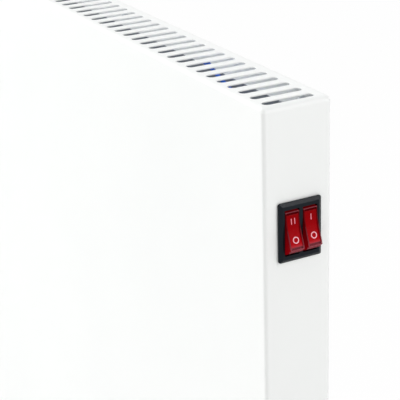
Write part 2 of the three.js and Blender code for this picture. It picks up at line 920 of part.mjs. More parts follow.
// Rocker about its pivot, with +X outwards: a hollow face bevelled all round stands between two ridges,
// and below the ridges a stepped lip leads to the round skirt
function rocker() {
  const faceRadius = (faceHalfLength ** 2 + faceSag ** 2) / (2 * faceSag);
  const faceCentre = faceHeight - faceSag + faceRadius;
  const faceAngle = Math.asin(faceHalfLength / faceRadius);
  const floorRadius = faceRadius + faceBevel;
  const floorAngle = Math.asin(ridgeHalfLength / floorRadius);
  const skirtTop = Math.asin(skirtHeight / rockerSweep);
  const skirtHalf = rockerSweep * Math.cos(skirtTop);
  const base = new THREE.Shape();
  base.moveTo(-rockerKeel, -rockerKeelHalfLength);
  base.absarc(0, 0, rockerSweep, -Math.PI / 2 - keelAngle / 2, skirtTop - Math.PI / 2, false);
  base.lineTo(skirtHeight, -lipHalfLength);
  base.lineTo(lipHeight, -lipHalfLength);
  base.lineTo(ridgeHeight, -ridgeHalfLength - ridgeWidth);
  base.lineTo(ridgeHeight, -ridgeHalfLength);
  base.absarc(faceCentre, 0, floorRadius, Math.PI + floorAngle, Math.PI - floorAngle, true);
  base.lineTo(ridgeHeight, ridgeHalfLength);
  base.lineTo(ridgeHeight, ridgeHalfLength + ridgeWidth);
  base.lineTo(lipHeight, lipHalfLength);
  base.lineTo(skirtHeight, lipHalfLength);
  base.lineTo(skirtHeight, skirtHalf);
  base.absarc(0, 0, rockerSweep, Math.PI / 2 - skirtTop, Math.PI / 2 + keelAngle / 2, false);
  base.lineTo(-rockerKeel, rockerKeelHalfLength);
  const face = new THREE.Shape();
  face.moveTo(0, -faceHalfLength - faceBevel);
  face.lineTo(faceHeight - faceBevel, -faceHalfLength - faceBevel);
  face.absarc(faceCentre, 0, faceRadius, Math.PI + faceAngle, Math.PI - faceAngle, true);
  face.lineTo(faceHeight - faceBevel, faceHalfLength + faceBevel);
  face.lineTo(0, faceHalfLength + faceBevel);
  const reach = pocketWidth / 2 - rockerClearance + trunnionReach;
  const trunnions = bar("y", trunnionRadius, -reach, reach, 0, 0, roundFacets);
  return joined(acrossRocker(base, rockerEdge), acrossRocker(face, faceBevel), trunnions);
}

// A smooth route whose steps follow its points, so that short bends stay round on a long lead
class RouteCurve extends THREE.CatmullRomCurve3 {
  getPointAt(share, target) {
    return this.getPoint(share, target);
  }

  getTangentAt(share, target) {
    return this.getTangent(share, target);
  }
}

// A lead: a round tube through its points, given in the cabinet's frame
function leadTube(points) {
  const path = new RouteCurve(points.map((p) => new THREE.Vector3(...p)));
  const section = new THREE.Shape();
  section.absarc(0, 0, leadRadius, 0, Math.PI * 2, false);
  const tube = new THREE.ExtrudeGeometry(section, {
    steps: (points.length - 1) * leadStepsPerPoint,
    curveSegments: leadFacets * arcShare,
    extrudePath: path,
  });
  return solidOf(tube);
}

// A push-on receptacle about a blade: size of the blade along its own width and thickness axes
function receptacle(tip, along, across) {
  const half = [0, 0, 0];
  const hollow = [0, 0, 0];
  const axes = { x: 0, y: 1, z: 2 };
  const thick = 3 - axes[along.axis] - axes[across.axis];
  hollow[axes[across.axis]] = across.width / 2 + seatGap;
  hollow[thick] = bladeThickness / 2 + seatGap;
  half[axes[across.axis]] = hollow[axes[across.axis]] + receptacleWall;
  half[thick] = hollow[thick] + receptacleWall;
  const low = tip.map((value, i) => value - half[i]);
  const high = tip.map((value, i) => value + half[i]);
  const slotLow = tip.map((value, i) => value - hollow[i]);
  const slotHigh = tip.map((value, i) => value + hollow[i]);
  const run = axes[along.axis];
  const closed = tip[run] + along.sense * (seatGap + receptacleWall);
  const open = closed - along.sense * (bladeReach + receptacleWall);
  low[run] = Math.min(open, closed);
  high[run] = Math.max(open, closed);
  const slotEnd = tip[run] + along.sense * seatGap;
  const slotMouth = open - along.sense * overrun;
  slotLow[run] = Math.min(slotEnd, slotMouth);
  slotHigh[run] = Math.max(slotEnd, slotMouth);
  return cut(block(low, high), block(slotLow, slotHigh));
}

// Ends of the blades, in the cabinet's frame
const bladeTipX = endX - bodyDepth - bladeReach;
const [neutralPlace, linePlace, stageOnePlace, stageTwoPlace] = bladePlaces();
const switchTip = ([y, z]) => [bladeTipX, switchY + y, switchZ + z];
const rodTip = finLength / 2 + rodReach + bladeReach;
const elementTip = (side, z) => [elementX + side * rodTip, elementY, z];
const cutoutBladeY = shieldFront - seatGap - cutoutHeight + bladeThickness / 2;
const cutoutTip = (side) => [
  cutoutX + (side * cutoutBladeSpacing) / 2,
  cutoutBladeY,
  cutoutZ + cutoutRadius + bladeReach,
];
const blockEntry = (way) => [
  serviceX + (way - (blockWays - 1) / 2) * blockPitch,
  blockEntryY,
  blockZ + blockHeight / 2 + seatGap - blockEntryDepth,
];
const tailFrom = seatGap + receptacleWall;
const tailShare = 0.9;
const onSwitch = (tip) => receptacle(tip, { axis: "x", sense: -1 }, { axis: "y", width: bladeWidth });
const onElement = (tip, side) => receptacle(tip, { axis: "x", sense: side }, { axis: "z", width: bladeWidth });
const onCutout = (tip) => receptacle(tip, { axis: "z", sense: 1 }, { axis: "x", width: cutoutBladeWidth });
const tailOf = (tip, axis, steps) =>
  tip.map((value, i) => (i === axis ? value + steps * tailFrom * tailShare : value));

// Places that the leads' routes are counted from, beside the blades: the switch end of the shield's
// front face at its top and its foot, the same corner of the panel's inner face, and the terminal block
const topShield = [endX, shieldFront, 0];
const footShield = [endX, shieldFront, -casingHeight];
const footPanel = [endX, panelInner, -casingHeight];
const blockPanel = [serviceX, panelInner, blockZ];
const underTop = casingSheet + leadRadius + seatGap;

function routeFrom(place, route) {
  return route.map((point) => point.map((value, i) => value + place[i]));
}

// Blue lead: switch, front duct, under the slots and over the heat shield, rear duct, terminal block
function neutralLead() {
  const tip = switchTip(neutralPlace);
  const [entryX, entryY, entryZ] = blockEntry(1);
  const fromSwitch = [[-10, -0.7, 1.7]];
  const upper = [
    [-44.5, -7.1, -46],
    [-47, -8.5, -30],
    [-48, -8.3, -14],
    [-50.8, -6.5, -6.4],
    [-59.7, -4.9, -5],
    [-68.5, -3.3, -3.9],
    [-77, -1.7, -2.9],
    [-85, 0.3, -underTop],
    [-92, 2.1, -underTop],
    [-96.6, 4.5, -5.2],
    [-98, 6.1, -14],
    [-98, 8.5, -60],
  ];
  const rear = [
    [-97, -5.3, 300],
    [-88, -4.3, 240],
  ];
  const toBlock = [
    [-25, -5.3, 83],
    [-9, -6.8, 43],
  ];
  return joined(
    onSwitch(tip),
    leadTube([
      tailOf(tip, 0, -1),
      ...routeFrom(tip, fromSwitch),
      ...routeFrom(topShield, upper),
      ...routeFrom(footPanel, rear),
      ...routeFrom(blockPanel, toBlock),
      [entryX, entryY, entryZ + 2 * blockEntryDepth],
      [entryX, entryY, entryZ],
    ]),
  );
}

function stageOneLead() {
  const tip = switchTip(stageOnePlace);
  const far = elementTip(1, elementOneZ);
  const fromSwitch = [
    [-9, -2.3, -2.8],
    [-12.5, -5.9, -12.8],
  ];
  const upper = [
    [-41.5, -11.7, -104],
    [-42, -11.9, -150],
  ];
  const lower = [[-45, -11.5, 200]];
  const toElement = [[18.5, -1.05, 11]];
  return joined(
    onSwitch(tip),
    onElement(far, 1),
    leadTube([
      tailOf(tip, 0, -1),
      ...routeFrom(tip, fromSwitch),
      ...routeFrom(topShield, upper),
      ...routeFrom(footShield, lower),
      ...routeFrom(far, toElement),
      tailOf(far, 0, bladeReach),
      tailOf(far, 0, 1),
    ]),
  );
}

function stageTwoLead() {
  const tip = switchTip(stageTwoPlace);
  const far = elementTip(1, elementTwoZ);
  const fromSwitch = [
    [-8.5, -0.9, -1.8],
    [-14, -5.1, -5.8],
    [-17.4, -9.9, -12.3],
  ];
  const upper = [
    [-46.4, -5.5, -98],
    [-47, -5.5, -160],
  ];
  const toElement = [
    [22, 3.55, 60],
    [19.5, 2.35, 12],
  ];
  return joined(
    onSwitch(tip),
    onElement(far, 1),
    leadTube([
      tailOf(tip, 0, -1),
      ...routeFrom(tip, fromSwitch),
      ...routeFrom(topShield, upper),
      ...routeFrom(far, toElement),
      tailOf(far, 0, bladeReach),
      tailOf(far, 0, 1),
    ]),
  );
}

// From the switch to the overheat cut-out
function switchLineLead() {
  const tip = switchTip(linePlace);
  const far = cutoutTip(-1);
  const fromSwitch = [
    [-8, -0.1, -0.8],
    [-15.5, -2.3, -3.8],
    [-21.5, -6.7, -6.8],
    [-26, -11.1, -11.8],
  ];
  const upper = [[-58, -7.9, -80]];
  const toCutout = [
    [105, -3, 80],
    [70, -3.6, 52],
    [25, -3.6, 38],
    [6, -2.6, 28],
  ];
  return joined(
    onSwitch(tip),
    onCutout(far),
    leadTube([
      tailOf(tip, 0, -1),
      ...routeFrom(tip, fromSwitch),
      ...routeFrom(topShield, upper),
      ...routeFrom(far, toCutout),
      tailOf(far, 2, bladeReach),
      tailOf(far, 2, 1),
    ]),
  );
}

// From the terminal block up the rear duct, through the grommet, to the overheat cut-out
function supplyLineLead() {
  const far = cutoutTip(1);
  const [entryX, entryY, entryZ] = blockEntry(2);
  const grommetBack = [grommetX, shieldBack, grommetZ];
  const grommetFront = [grommetX, shieldFront, grommetZ];
  const fromBlock = [[1, -7.3, 55]];
  const rear = [[-53, -7.8, 230]];
  const toGrommet = [
    [9, 9.1, -18],
    [1.5, 7.9, -4],
    [0, 4.4, 0],
  ];
  const fromGrommet = [
    [0, -4.4, 0],
    [-3.5, -7.9, -2],
    [-25, -9.1, -10],
  ];
  const toCutout = [
    [23, -3.2, 22],
    [5, -1.8, 19.5],
  ];
  return joined(
    onCutout(far),
    leadTube([
      [entryX, entryY, entryZ],
      [entryX, entryY, entryZ + 2 * blockEntryDepth],
      ...routeFrom(blockPanel, fromBlock),
      ...routeFrom(footPanel, rear),
      ...routeFrom(grommetBack, toGrommet),
      grommetBack,
      ...routeFrom(grommetFront, fromGrommet),
      ...routeFrom(far, toCutout),
      tailOf(far, 2, bladeReach / 2),
      tailOf(far, 2, 1),
    ]),
  );
}

// Both left ends joined, and the return along the foot of the front duct to the terminal block
function neutralReturnLead() {
  const upper = elementTip(-1, elementOneZ);
  const lower = elementTip(-1, elementTwoZ);
  const lowerRight = elementTip(1, elementTwoZ);
  const [entryX, entryY, entryZ] = blockEntry(0);
  const link = [
    [-16, 0, 48],
    [-18, 0, 26],
    [-14, 0, 6],
  ];
  const left = [
    [-14, 0, -6],
    [-18, 0, -24],
    [-13, 0, -40],
    [4, 0, -46],
    [140, 0, -48],
  ];
  const middle = [
    [-251, 0, -48],
    [-120, 0, -48],
    [-5, 0, -48],
  ];
  const right = [
    [-58, -5.9, 43],
    [-54.5, 0.3, 47],
    [-56, 5.9, 57],
  ];
  const toBlock = [
    [-23.5, -8.3, -30],
    [-24.5, -7.3, 0],
    [-21.5, -6.9, 17],
    [-16.5, -6.8, 23],
  ];
  return joined(
    onElement(upper, -1),
    onElement(lower, -1),
    leadTube([
      tailOf(upper, 0, -1),
      tailOf(upper, 0, -bladeReach),
      ...routeFrom(lower, link),
      tailOf(lower, 0, -bladeReach),
      tailOf(lower, 0, -1),
    ]),
    leadTube([
      tailOf(lower, 0, -1),
      tailOf(lower, 0, -bladeReach),
      ...routeFrom(lower, left),
      ...routeFrom(lowerRight, middle),
      ...routeFrom(footShield, right),
      ...routeFrom(blockPanel, toBlock),
      [entryX, entryY, entryZ + blockEntryDepth],
      [entryX, entryY, entryZ],
    ]),
  );
}

// Short lead with a ring terminal, whose tail points to the end of the casing
function earthLead() {
  const [entryX, entryY, entryZ] = blockEntry(3);
  const ringFar = panelInner - seatGap;
  const ringNear = ringFar - ringThickness;
  const ring = cut(
    joined(
      bar("y", ringRadius, ringNear, ringFar, earthX, earthZ, holeFacets),
      block([earthX, ringNear, earthZ - leadRadius], [earthX + 2 * ringRadius, ringFar, earthZ + leadRadius]),
    ),
    bar("y", earthShankRadius + seatGap, 0, wallY, earthX, earthZ, holeFacets),
  );
  const tailY = ringNear + ringThickness / 2 - leadRadius;
  const toRing = [
    [8.5, -5.7, -17],
    [11.6, -3.9, -10],
    [11.6, -2.3, -3],
  ];
  return joined(
    ring,
    leadTube([
      [entryX, entryY, entryZ],
      [entryX, entryY, entryZ + blockEntryDepth],
      ...routeFrom([earthX, panelInner, earthZ], toRing),
      [earthX + 2 * ringRadius, tailY, earthZ],
      [earthX + ringRadius + 2 * leadRadius, tailY, earthZ],
    ]),
  );
}

// Cabinet shells and their carriers
addPiece(cabinet, "front_casing", frontCasing(), whiteEnamel);
addPiece(cabinet, "rear_panel", rearPanel(), zincSteel);
addPiece(cabinet, "heat_shield", heatShield(), darkSteel);
const uprightY = (shieldBack + panelInner) / 2;
for (const [name, side] of [["upright_left", -1], ["upright_right", 1]]) {
  const piece = addPiece(cabinet, name, upright(), zincSteel);
  piece.position.set(side * uprightX, uprightY, 0);
  piece.rotation.z = side > 0 ? 0 : Math.PI;
}
const grommet = addPiece(cabinet, "shield_grommet", shieldGrommet(), blackRubber);
grommet.position.set(grommetX, (shieldFront + shieldBack) / 2, grommetZ);
rearScrewPlaces().forEach(([x, z], i) => {
  const screw = addPiece(cabinet, `rear_screw_${i + 1}`, rearScrew(), zincSteel);
  screw.position.set(x, panelOuter + seatGap, z);
});

// Heating elements on their two brackets
const elements = new THREE.Group();
elements.position.set(elementX, elementY, elementTwoZ);
cabinet.add(elements);
const bracketFace = finLength / 2 + bushShoulder + 2 * seatGap + bracketSheet;
for (const [stage, z] of [["two", 0], ["one", elementPitch]]) {
  addPiece(elements, `element_fins_${stage}`, elementFins(), aluminium).position.z = z;
  addPiece(elements, `element_rod_${stage}`, elementRod(), sheathSteel).position.z = z;
  for (const [end, side] of [["left", -1], ["right", 1]]) {
    const bush = addPiece(elements, `element_bush_${stage}_${end}`, elementBush(), steatite);
    bush.position.set(side * (finLength / 2 + seatGap), 0, z);
    bush.rotation.z = (-side * Math.PI) / 2;
  }
}
const rightBracket = addPiece(elements, "element_bracket_right", elementBracket(), zincSteel);
rightBracket.position.x = bracketFace;
const leftBracket = addPiece(elements, "element_bracket_left", elementBracket(), zincSteel);
leftBracket.position.x = bracketSheet - bracketFace;

// Controls, terminals and fastenings on the heat shield and the rear panel
const cutout = addPiece(cabinet, "overheat_cutout", overheatCutout(), blackPolyamide);
cutout.position.set(cutoutX, shieldFront - seatGap, cutoutZ);
const terminals = addPiece(cabinet, "terminal_block", terminalBlock(), palePolyamide);
terminals.position.set(serviceX, blockBack, blockZ);
addPiece(cabinet, "cable_gland", cableGland(), blackPolyamide).position.set(serviceX, 0, glandZ);
addPiece(cabinet, "gland_nut", glandNut(), blackPolyamide).position.set(serviceX, 0, glandZ);
addPiece(cabinet, "earth_screw", earthScrew(), zincSteel).position.set(earthX, 0, earthZ);
addPiece(cabinet, "earth_nut", earthNut(), nickelBrass).position.set(earthX, 0, earthZ);
for (const [name, side] of [["wall_spacer_left", -1], ["wall_spacer_right", 1]]) {
  const spacer = addPiece(cabinet, name, wallSpacer(), blackRubber);
  spacer.position.set(side * spacerX, 0, spacerRise - casingHeight);
}

// Twin rocker switch: both rockers stand at on, pressed in at the top
const twinSwitch = new THREE.Group();
twinSwitch.position.set(endX, switchY, switchZ);
cabinet.add(twinSwitch);
addPiece(twinSwitch, "switch_housing", switchHousing(), blackPolyamide);
const bladeNames = ["blade_neutral", "blade_line", "blade_stage_one", "blade_stage_two"];
bladePlaces().forEach(([y, z], i) => {
  addPiece(twinSwitch, bladeNames[i], switchBlade(), nickelBrass).position.set(0, y, z);
});
for (const [name, side] of [["rocker_stage_two", -1], ["rocker_stage_one", 1]]) {
  const key = addPiece(twinSwitch, name, rocker(), redPolycarbonate);
  key.position.set(-pivotDepth, (side * pocketPitch) / 2, 0);
  key.rotation.y = -rockerTravel / 2;
}

// Leads inside the cabinet
addPiece(cabinet, "lead_neutral", neutralLead(), blueSilicone);
addPiece(cabinet, "lead_stage_one", stageOneLead(), brownSilicone);
addPiece(cabinet, "lead_stage_two", stageTwoLead(), brownSilicone);
addPiece(cabinet, "lead_switch_line", switchLineLead(), brownSilicone);
addPiece(cabinet, "lead_supply_line", supplyLineLead(), brownSilicone);
addPiece(cabinet, "lead_neutral_return", neutralReturnLead(), blueSilicone);
addPiece(cabinet, "lead_earth", earthLead(), greenSilicone);

// Rail on the wall
addPiece(heater, "wall_rail", wallRail(), zincSteel);

export default heater;
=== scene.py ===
"""Looks of a slim wall-hung electric convector heater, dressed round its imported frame.

Every length in the classes is in millimetres, in the frame's own axes: +X along the casing towards
the switch end, +Y into the wall and +Z up, from the middle of the wall rail's back face.
"""
import json
import logging
from dataclasses import dataclass, field
from enum import Enum
from math import acos, asin, cos, pi, radians, sin, tau

import bmesh
import bpy
import numpy as np
from mathutils import Matrix, Vector


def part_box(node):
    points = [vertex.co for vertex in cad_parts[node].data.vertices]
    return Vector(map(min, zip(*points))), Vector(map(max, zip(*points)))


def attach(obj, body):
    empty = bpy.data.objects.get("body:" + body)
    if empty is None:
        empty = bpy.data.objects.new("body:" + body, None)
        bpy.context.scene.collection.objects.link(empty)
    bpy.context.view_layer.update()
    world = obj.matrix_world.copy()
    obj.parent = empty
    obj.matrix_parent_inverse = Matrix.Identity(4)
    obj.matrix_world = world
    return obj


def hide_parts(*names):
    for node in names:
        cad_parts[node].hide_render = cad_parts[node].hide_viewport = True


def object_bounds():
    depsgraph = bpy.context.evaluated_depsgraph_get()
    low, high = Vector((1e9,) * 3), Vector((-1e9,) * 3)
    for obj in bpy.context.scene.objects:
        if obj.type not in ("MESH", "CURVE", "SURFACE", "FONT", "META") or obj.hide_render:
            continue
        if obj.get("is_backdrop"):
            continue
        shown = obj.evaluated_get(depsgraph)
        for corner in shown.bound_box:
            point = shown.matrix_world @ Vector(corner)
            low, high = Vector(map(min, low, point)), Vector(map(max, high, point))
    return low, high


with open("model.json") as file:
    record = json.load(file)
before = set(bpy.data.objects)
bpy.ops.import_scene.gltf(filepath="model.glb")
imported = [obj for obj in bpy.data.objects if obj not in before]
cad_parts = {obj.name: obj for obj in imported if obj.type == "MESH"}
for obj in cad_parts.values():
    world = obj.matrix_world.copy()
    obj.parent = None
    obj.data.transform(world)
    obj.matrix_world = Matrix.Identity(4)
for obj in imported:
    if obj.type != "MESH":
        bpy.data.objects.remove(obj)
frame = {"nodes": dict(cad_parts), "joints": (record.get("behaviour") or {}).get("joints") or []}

MM = 0.001
MERGE = 1e-6
TINY = 1e-6
FLAT_WITHIN = 0.6
HEATER = "heater"

log = logging.getLogger("convector")

Array = np.ndarray
Object = bpy.types.Object
Pair = tuple[float, float]
Socket = bpy.types.NodeSocket
Triple = tuple[float, float, float]

ALONG_X, ALONG_Y, ALONG_Z = np.eye(3)


def linear(colour: str) -> tuple[float, float, float, float]:
    """Turn an sRGB hex value into the linear colour that a shader takes.

    The curve and its numbers are sRGB's own: a straight foot, and a power above it.

    Args:
        colour: colour as it is seen, such as "#f4f5f4".

    Returns:
        Red, green, blue and an alpha of one.
    """
    seen = [int(colour[i : i + 2], 16) / 255 for i in (1, 3, 5)]
    light = [c / 12.92 if c <= 0.04045 else ((c + 0.055) / 1.055) ** 2.4 for c in seen]
    return (*light, 1.0)


def add_node(
    tree: bpy.types.NodeTree,
    kind: str,
    values: dict | None = None,
    links: dict | None = None,
    **settings: object,
) -> bpy.types.Node:
    """Add one node to a tree with its settings, its socket values and its links.

    Args:
        tree: node tree.
        kind: shader node's type name, without the words that all of them start with.
        values: input socket to value.
        links: input socket to the output socket that feeds it.
        **settings: node's own options.

    Returns:
        The new node.
    """
    node = tree.nodes.new(f"ShaderNode{kind}")
    for name, value in settings.items():
        setattr(node, name, value)
    for name, value in (values or {}).items():
        node.inputs[name].default_value = value
    for name, socket in (links or {}).items():
        tree.links.new(socket, node.inputs[name])
    return node


def stack(*axes: Array) -> Array:
    """Arrays of one shape as one array, whose last axis goes through them."""
    return np.stack(axes, axis=-1)


def per(size: float) -> float:
    """Scale of a pattern whose cells measure a size in millimetres."""
    return 1 / (size * MM)


def node_box(*names: str) -> tuple[Array, Array]:
    """Lowest and highest corner of one or more CAD nodes at rest, in millimetres."""
    corners = np.array([[list(corner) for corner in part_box(name)] for name in names]) / MM
    return corners[:, 0].min(axis=0), corners[:, 1].max(axis=0)


# Finishes


@dataclass
class Coat:
    """Nodes of one material while it is made: its tree, its shader and the places on the piece."""

    tree: bpy.types.NodeTree
    shader: bpy.types.Node
    places: Socket

    def feed(self, outputs: dict[str, Socket]) -> None:
        """Link each output to the shader's input of that name."""
        for name, socket in outputs.items():
            self.tree.links.new(socket, self.shader.inputs[name])


@dataclass(frozen=True)
class Finish:
    """One real surface finish: its name, its starting colour and gloss, and its metalness."""

    name: str
    colour: str
    roughness: float
    metallic: float = 0.0
    ior: float = 1.5
    specular: float = 0.5

    def material(self) -> bpy.types.Material:
        """Make the material on its first use, and give the same one back after that.

        Returns:
            The Blender material with this finish's nodes.
        """
        found = bpy.data.materials.get(self.name)
        if found:
            return found
        made = bpy.data.materials.new(self.name)
        made.use_nodes = True
        tree = made.node_tree
        tree.nodes.clear()
        values = {
            "Base Color": linear(self.colour),
            "Roughness": self.roughness,
            "Metallic": self.metallic,
            "IOR": self.ior,
            "Specular IOR Level": self.specular,
        }
        shader = add_node(tree, "BsdfPrincipled", values)
        add_node(tree, "OutputMaterial", links={"Surface": shader.outputs["BSDF"]})
        places = add_node(tree, "TexCoord").outputs["Object"]
        self.paint(Coat(tree, shader, places))
        return made

    def paint(self, coat: Coat) -> None:
        """Add the pattern of the finish to its plain shader; each finish says how."""
        raise NotImplementedError

    def dress(self, *pieces: Object) -> None:
        """Give the pieces this finish as their one material."""
        for piece in pieces:
            piece.data.materials.clear()
            piece.data.materials.append(self.material())


@dataclass(frozen=True)
class Grained(Finish):
    """A finish of two near tones, with a finer pattern that stirs its gloss and its height.

    A patch of one tone and a grain are sizes in millimetres, and so is the grain's depth. Where the
    stretch is under one, the grain is drawn out along X. The swing is how far the roughness goes
    below and above its start, and the relief is the bump's strength.
    """

    shade: str = "#ffffff"
    patch: float = 10.0
    patch_detail: float = 2.0
    grain: float = 1.0
    grain_detail: float = 2.0
    stretch: float = 1.0
    depth: float = 0.01
    relief: float = 0.3
    swing: Pair = (-0.05, 0.05)

    def patterns(self, coat: Coat) -> tuple[Socket, ...]:
        """Slow cloud for the tone, and the grain for both the gloss and the height.

        Args:
            coat: material's nodes.

        Returns:
            The outputs for tone, gloss and height.
        """
        slow = {"Scale": per(self.patch), "Detail": self.patch_detail}
        cloud = add_node(coat.tree, "TexNoise", slow, {"Vector": coat.places})
        drawn_out = {"Scale": (self.stretch, 1, 1)}
        drawn = add_node(coat.tree, "Mapping", drawn_out, {"Vector": coat.places})
        fine = {"Scale": per(self.grain), "Detail": self.grain_detail}
        grain = add_node(coat.tree, "TexNoise", fine, {"Vector": drawn.outputs["Vector"]})
        return cloud.outputs["Fac"], grain.outputs["Fac"], grain.outputs["Fac"]

    def paint(self, coat: Coat) -> None:
        """Mix the two tones by the first pattern, and stir gloss and height by the other two.

        Args:
            coat: material's nodes.
        """
        by_tone, by_gloss, by_height = self.patterns(coat)
        tone = add_node(
            coat.tree,
            "Mix",
            {"A": linear(self.colour), "B": linear(self.shade)},
            {"Factor": by_tone},
            data_type="RGBA",
        )
        below, above = self.swing
        gloss = add_node(
            coat.tree,
            "MapRange",
            {"To Min": self.roughness + below, "To Max": self.roughness + above},
            {"Value": by_gloss},
        )
        bump = add_node(
            coat.tree,
            "Bump",
            {"Strength": self.relief, "Distance": self.depth * MM},
            {"Height": by_height},
        )
        coat.feed(
            {
                "Base Color": tone.outputs["Result"],
                "Roughness": gloss.outputs["Result"],
                "Normal": bump.outputs["Normal"],
            }
        )


@dataclass(frozen=True)
class PowderCoat(Grained):
    """Baked powder coat on sheet steel: satin, with a faint orange peel and hardly any cloud."""

    shade: str = "#f2f4f3"
    patch: float = 160.0
    grain: float = 1.4
    grain_detail: float = 1.0
    depth: float = 0.004
    relief: float = 0.35
    swing: Pair = (-0.04, 0.04)


@dataclass(frozen=True)
class ZincSheet(Grained):
    """Hot-dip galvanised sheet: flat crystals, each with its own grey and gloss.

    A patch is one crystal, and the grain is the fine mottle over all of them.
    """

    shade: str = "#f2f4f6"
    patch: float = 6.0
    grain: float = 0.9
    swing: Pair = (-0.08, 0.12)

    def patterns(self, coat: Coat) -> tuple[Socket, ...]:
        """One tone and one gloss for each crystal, softened by a fine mottle.

        Args:
            coat: material's nodes.

        Returns:
            The outputs for tone, gloss and height.
        """
        tree, places = coat.tree, {"Vector": coat.places}
        cells = add_node(tree, "TexVoronoi", {"Scale": per(self.patch)}, places)
        of_cell = {"Color": cells.outputs["Color"]}
        value = add_node(tree, "SeparateColor", links=of_cell)
        mottle = add_node(tree, "TexNoise", {"Scale": per(self.grain)}, places)
        return value.outputs["Red"], value.outputs["Green"], mottle.outputs["Fac"]


@dataclass(frozen=True)
class HeatTintedSteel(Grained):
    """Bare metal that runs hot: oxide clouds between two tints, and drawing lines along X."""

    shade: str = "#3f4650"
    patch: float = 35.0
    patch_detail: float = 3.0
    grain: float = 0.5
    stretch: float = 0.02
    relief: float = 0.25
    swing: Pair = (-0.07, 0.1)


@dataclass(frozen=True)
class Moulded(Grained):
    """Moulded plastic, rubber or fired ceramic: a spark-eroded grain and a slow change of tone."""

    shade: str = "#191c20"
    patch: float = 14.0
    grain: float = 0.35
    depth: float = 0.012
    relief: float = 0.4
    swing: Pair = (-0.06, 0.08)


@dataclass(frozen=True)
class LitPolycarbonate(Finish):
    """Clear red polycarbonate, polished in the mould, with a small lamp behind it.

    The key's own attribute "zones" says where it is thick and dark, where a pale pink is painted as
    highlight and reflection, and how much of the lamp comes through. The ripple is the size of the
    lamp's uneven patches.
    """

    # Pale pink for the painted highlights and reflections.
    thick: str = "#5e0208"
    painted_reflection: str = "#8c4750"
    glow: str = "#d00016"
    glow_strength: float = 0.34
    ripple: float = 2.6
    unevenness: Pair = (0.8, 1.2)

    def paint(self, coat: Coat) -> None:
        """Deep red where thick, painted highlights and reflections in pale pink, lit by its share.

        Args:
            coat: material's nodes.
        """
        tree = coat.tree
        zones = add_node(tree, "Attribute", attribute_name="zones")
        part = add_node(tree, "SeparateXYZ", links={"Vector": zones.outputs["Vector"]})
        deep = add_node(
            tree,
            "Mix",
            {"A": linear(self.colour), "B": linear(self.thick)},
            {"Factor": part.outputs["X"]},
            data_type="RGBA",
        )
        # Painted highlights and reflections: pale pink by the attribute's second part.
        pale = add_node(
            tree,
            "Mix",
            {"B": linear(self.painted_reflection)},
            {"Factor": part.outputs["Y"], "A": deep.outputs["Result"]},
            data_type="RGBA",
        )
        wave = {"Scale": per(self.ripple)}
        ripple = add_node(tree, "TexNoise", wave, {"Vector": coat.places})
        least, most = self.unevenness
        uneven = add_node(
            tree, "MapRange", {"To Min": least, "To Max": most}, {"Value": ripple.outputs["Fac"]}
        )
        lamp = add_node(
            tree,
            "Math",
            links={0: part.outputs["Z"], 1: uneven.outputs["Result"]},
            operation="MULTIPLY",
        )
        strength = add_node(
            tree, "Math", {1: self.glow_strength}, {0: lamp.outputs["Value"]}, operation="MULTIPLY"
        )
        coat.shader.inputs["Emission Color"].default_value = linear(self.glow)
        coat.feed(
            {"Base Color": pale.outputs["Result"], "Emission Strength": strength.outputs["Value"]}
        )


@dataclass(frozen=True)
class SiliconeLead(Finish):
    """Extruded silicone insulation: dull, faintly dusty, with an optional second colour.

    The stripe reads the lead's own UV map, whose second coordinate goes once round the lead.
    """

    stripe: str = ""
    stripe_share: float = 0.38
    dust: float = 3.0
    swing: Pair = (-0.08, 0.12)
    sheen: float = 0.1

    def paint(self, coat: Coat) -> None:
        """Dusty mottle in the gloss, and the stripe on its share of the turn round.

        Args:
            coat: material's nodes.
        """
        tree = coat.tree
        mottle = {"Scale": per(self.dust)}
        dust = add_node(tree, "TexNoise", mottle, {"Vector": coat.places})
        below, above = self.swing
        gloss = add_node(
            tree,
            "MapRange",
            {"To Min": self.roughness + below, "To Max": self.roughness + above},
            {"Value": dust.outputs["Fac"]},
        )
        coat.feed({"Roughness": gloss.outputs["Result"]})
        coat.shader.inputs["Sheen Weight"].default_value = self.sheen
        if not self.stripe:
            return
        turn = add_node(tree, "UVMap", uv_map="lead")
        parts = add_node(tree, "SeparateXYZ", links={"Vector": turn.outputs["UV"]})
        side = add_node(
            tree, "Math", {1: self.stripe_share}, {0: parts.outputs["Y"]}, operation="LESS_THAN"
        )
        tone = add_node(
            tree,
            "Mix",
            {"A": linear(self.colour), "B": linear(self.stripe)},
            {"Factor": side.outputs["Value"]},
            data_type="RGBA",
        )
        coat.feed({"Base Color": tone.outputs["Result"]})


@dataclass(frozen=True)
class PadPrint(Finish):
    """Ink on the red rocker, pink because the lit plastic shines through it and round it."""

    blush: str = "#ffa8b8"
    blot: float = 0.8

    def paint(self, coat: Coat) -> None:
        """Uneven ink, thinner in places, so that some of the red shows.

        Args:
            coat: material's nodes.
        """
        spots = {"Scale": per(self.blot)}
        ink = add_node(coat.tree, "TexNoise", spots, {"Vector": coat.places})
        tone = add_node(
            coat.tree,
            "Mix",
            {"A": linear(self.colour), "B": linear(self.blush)},
            {"Factor": ink.outputs["Fac"]},
            data_type="RGBA",
        )
        coat.feed({"Base Color": tone.outputs["Result"]})


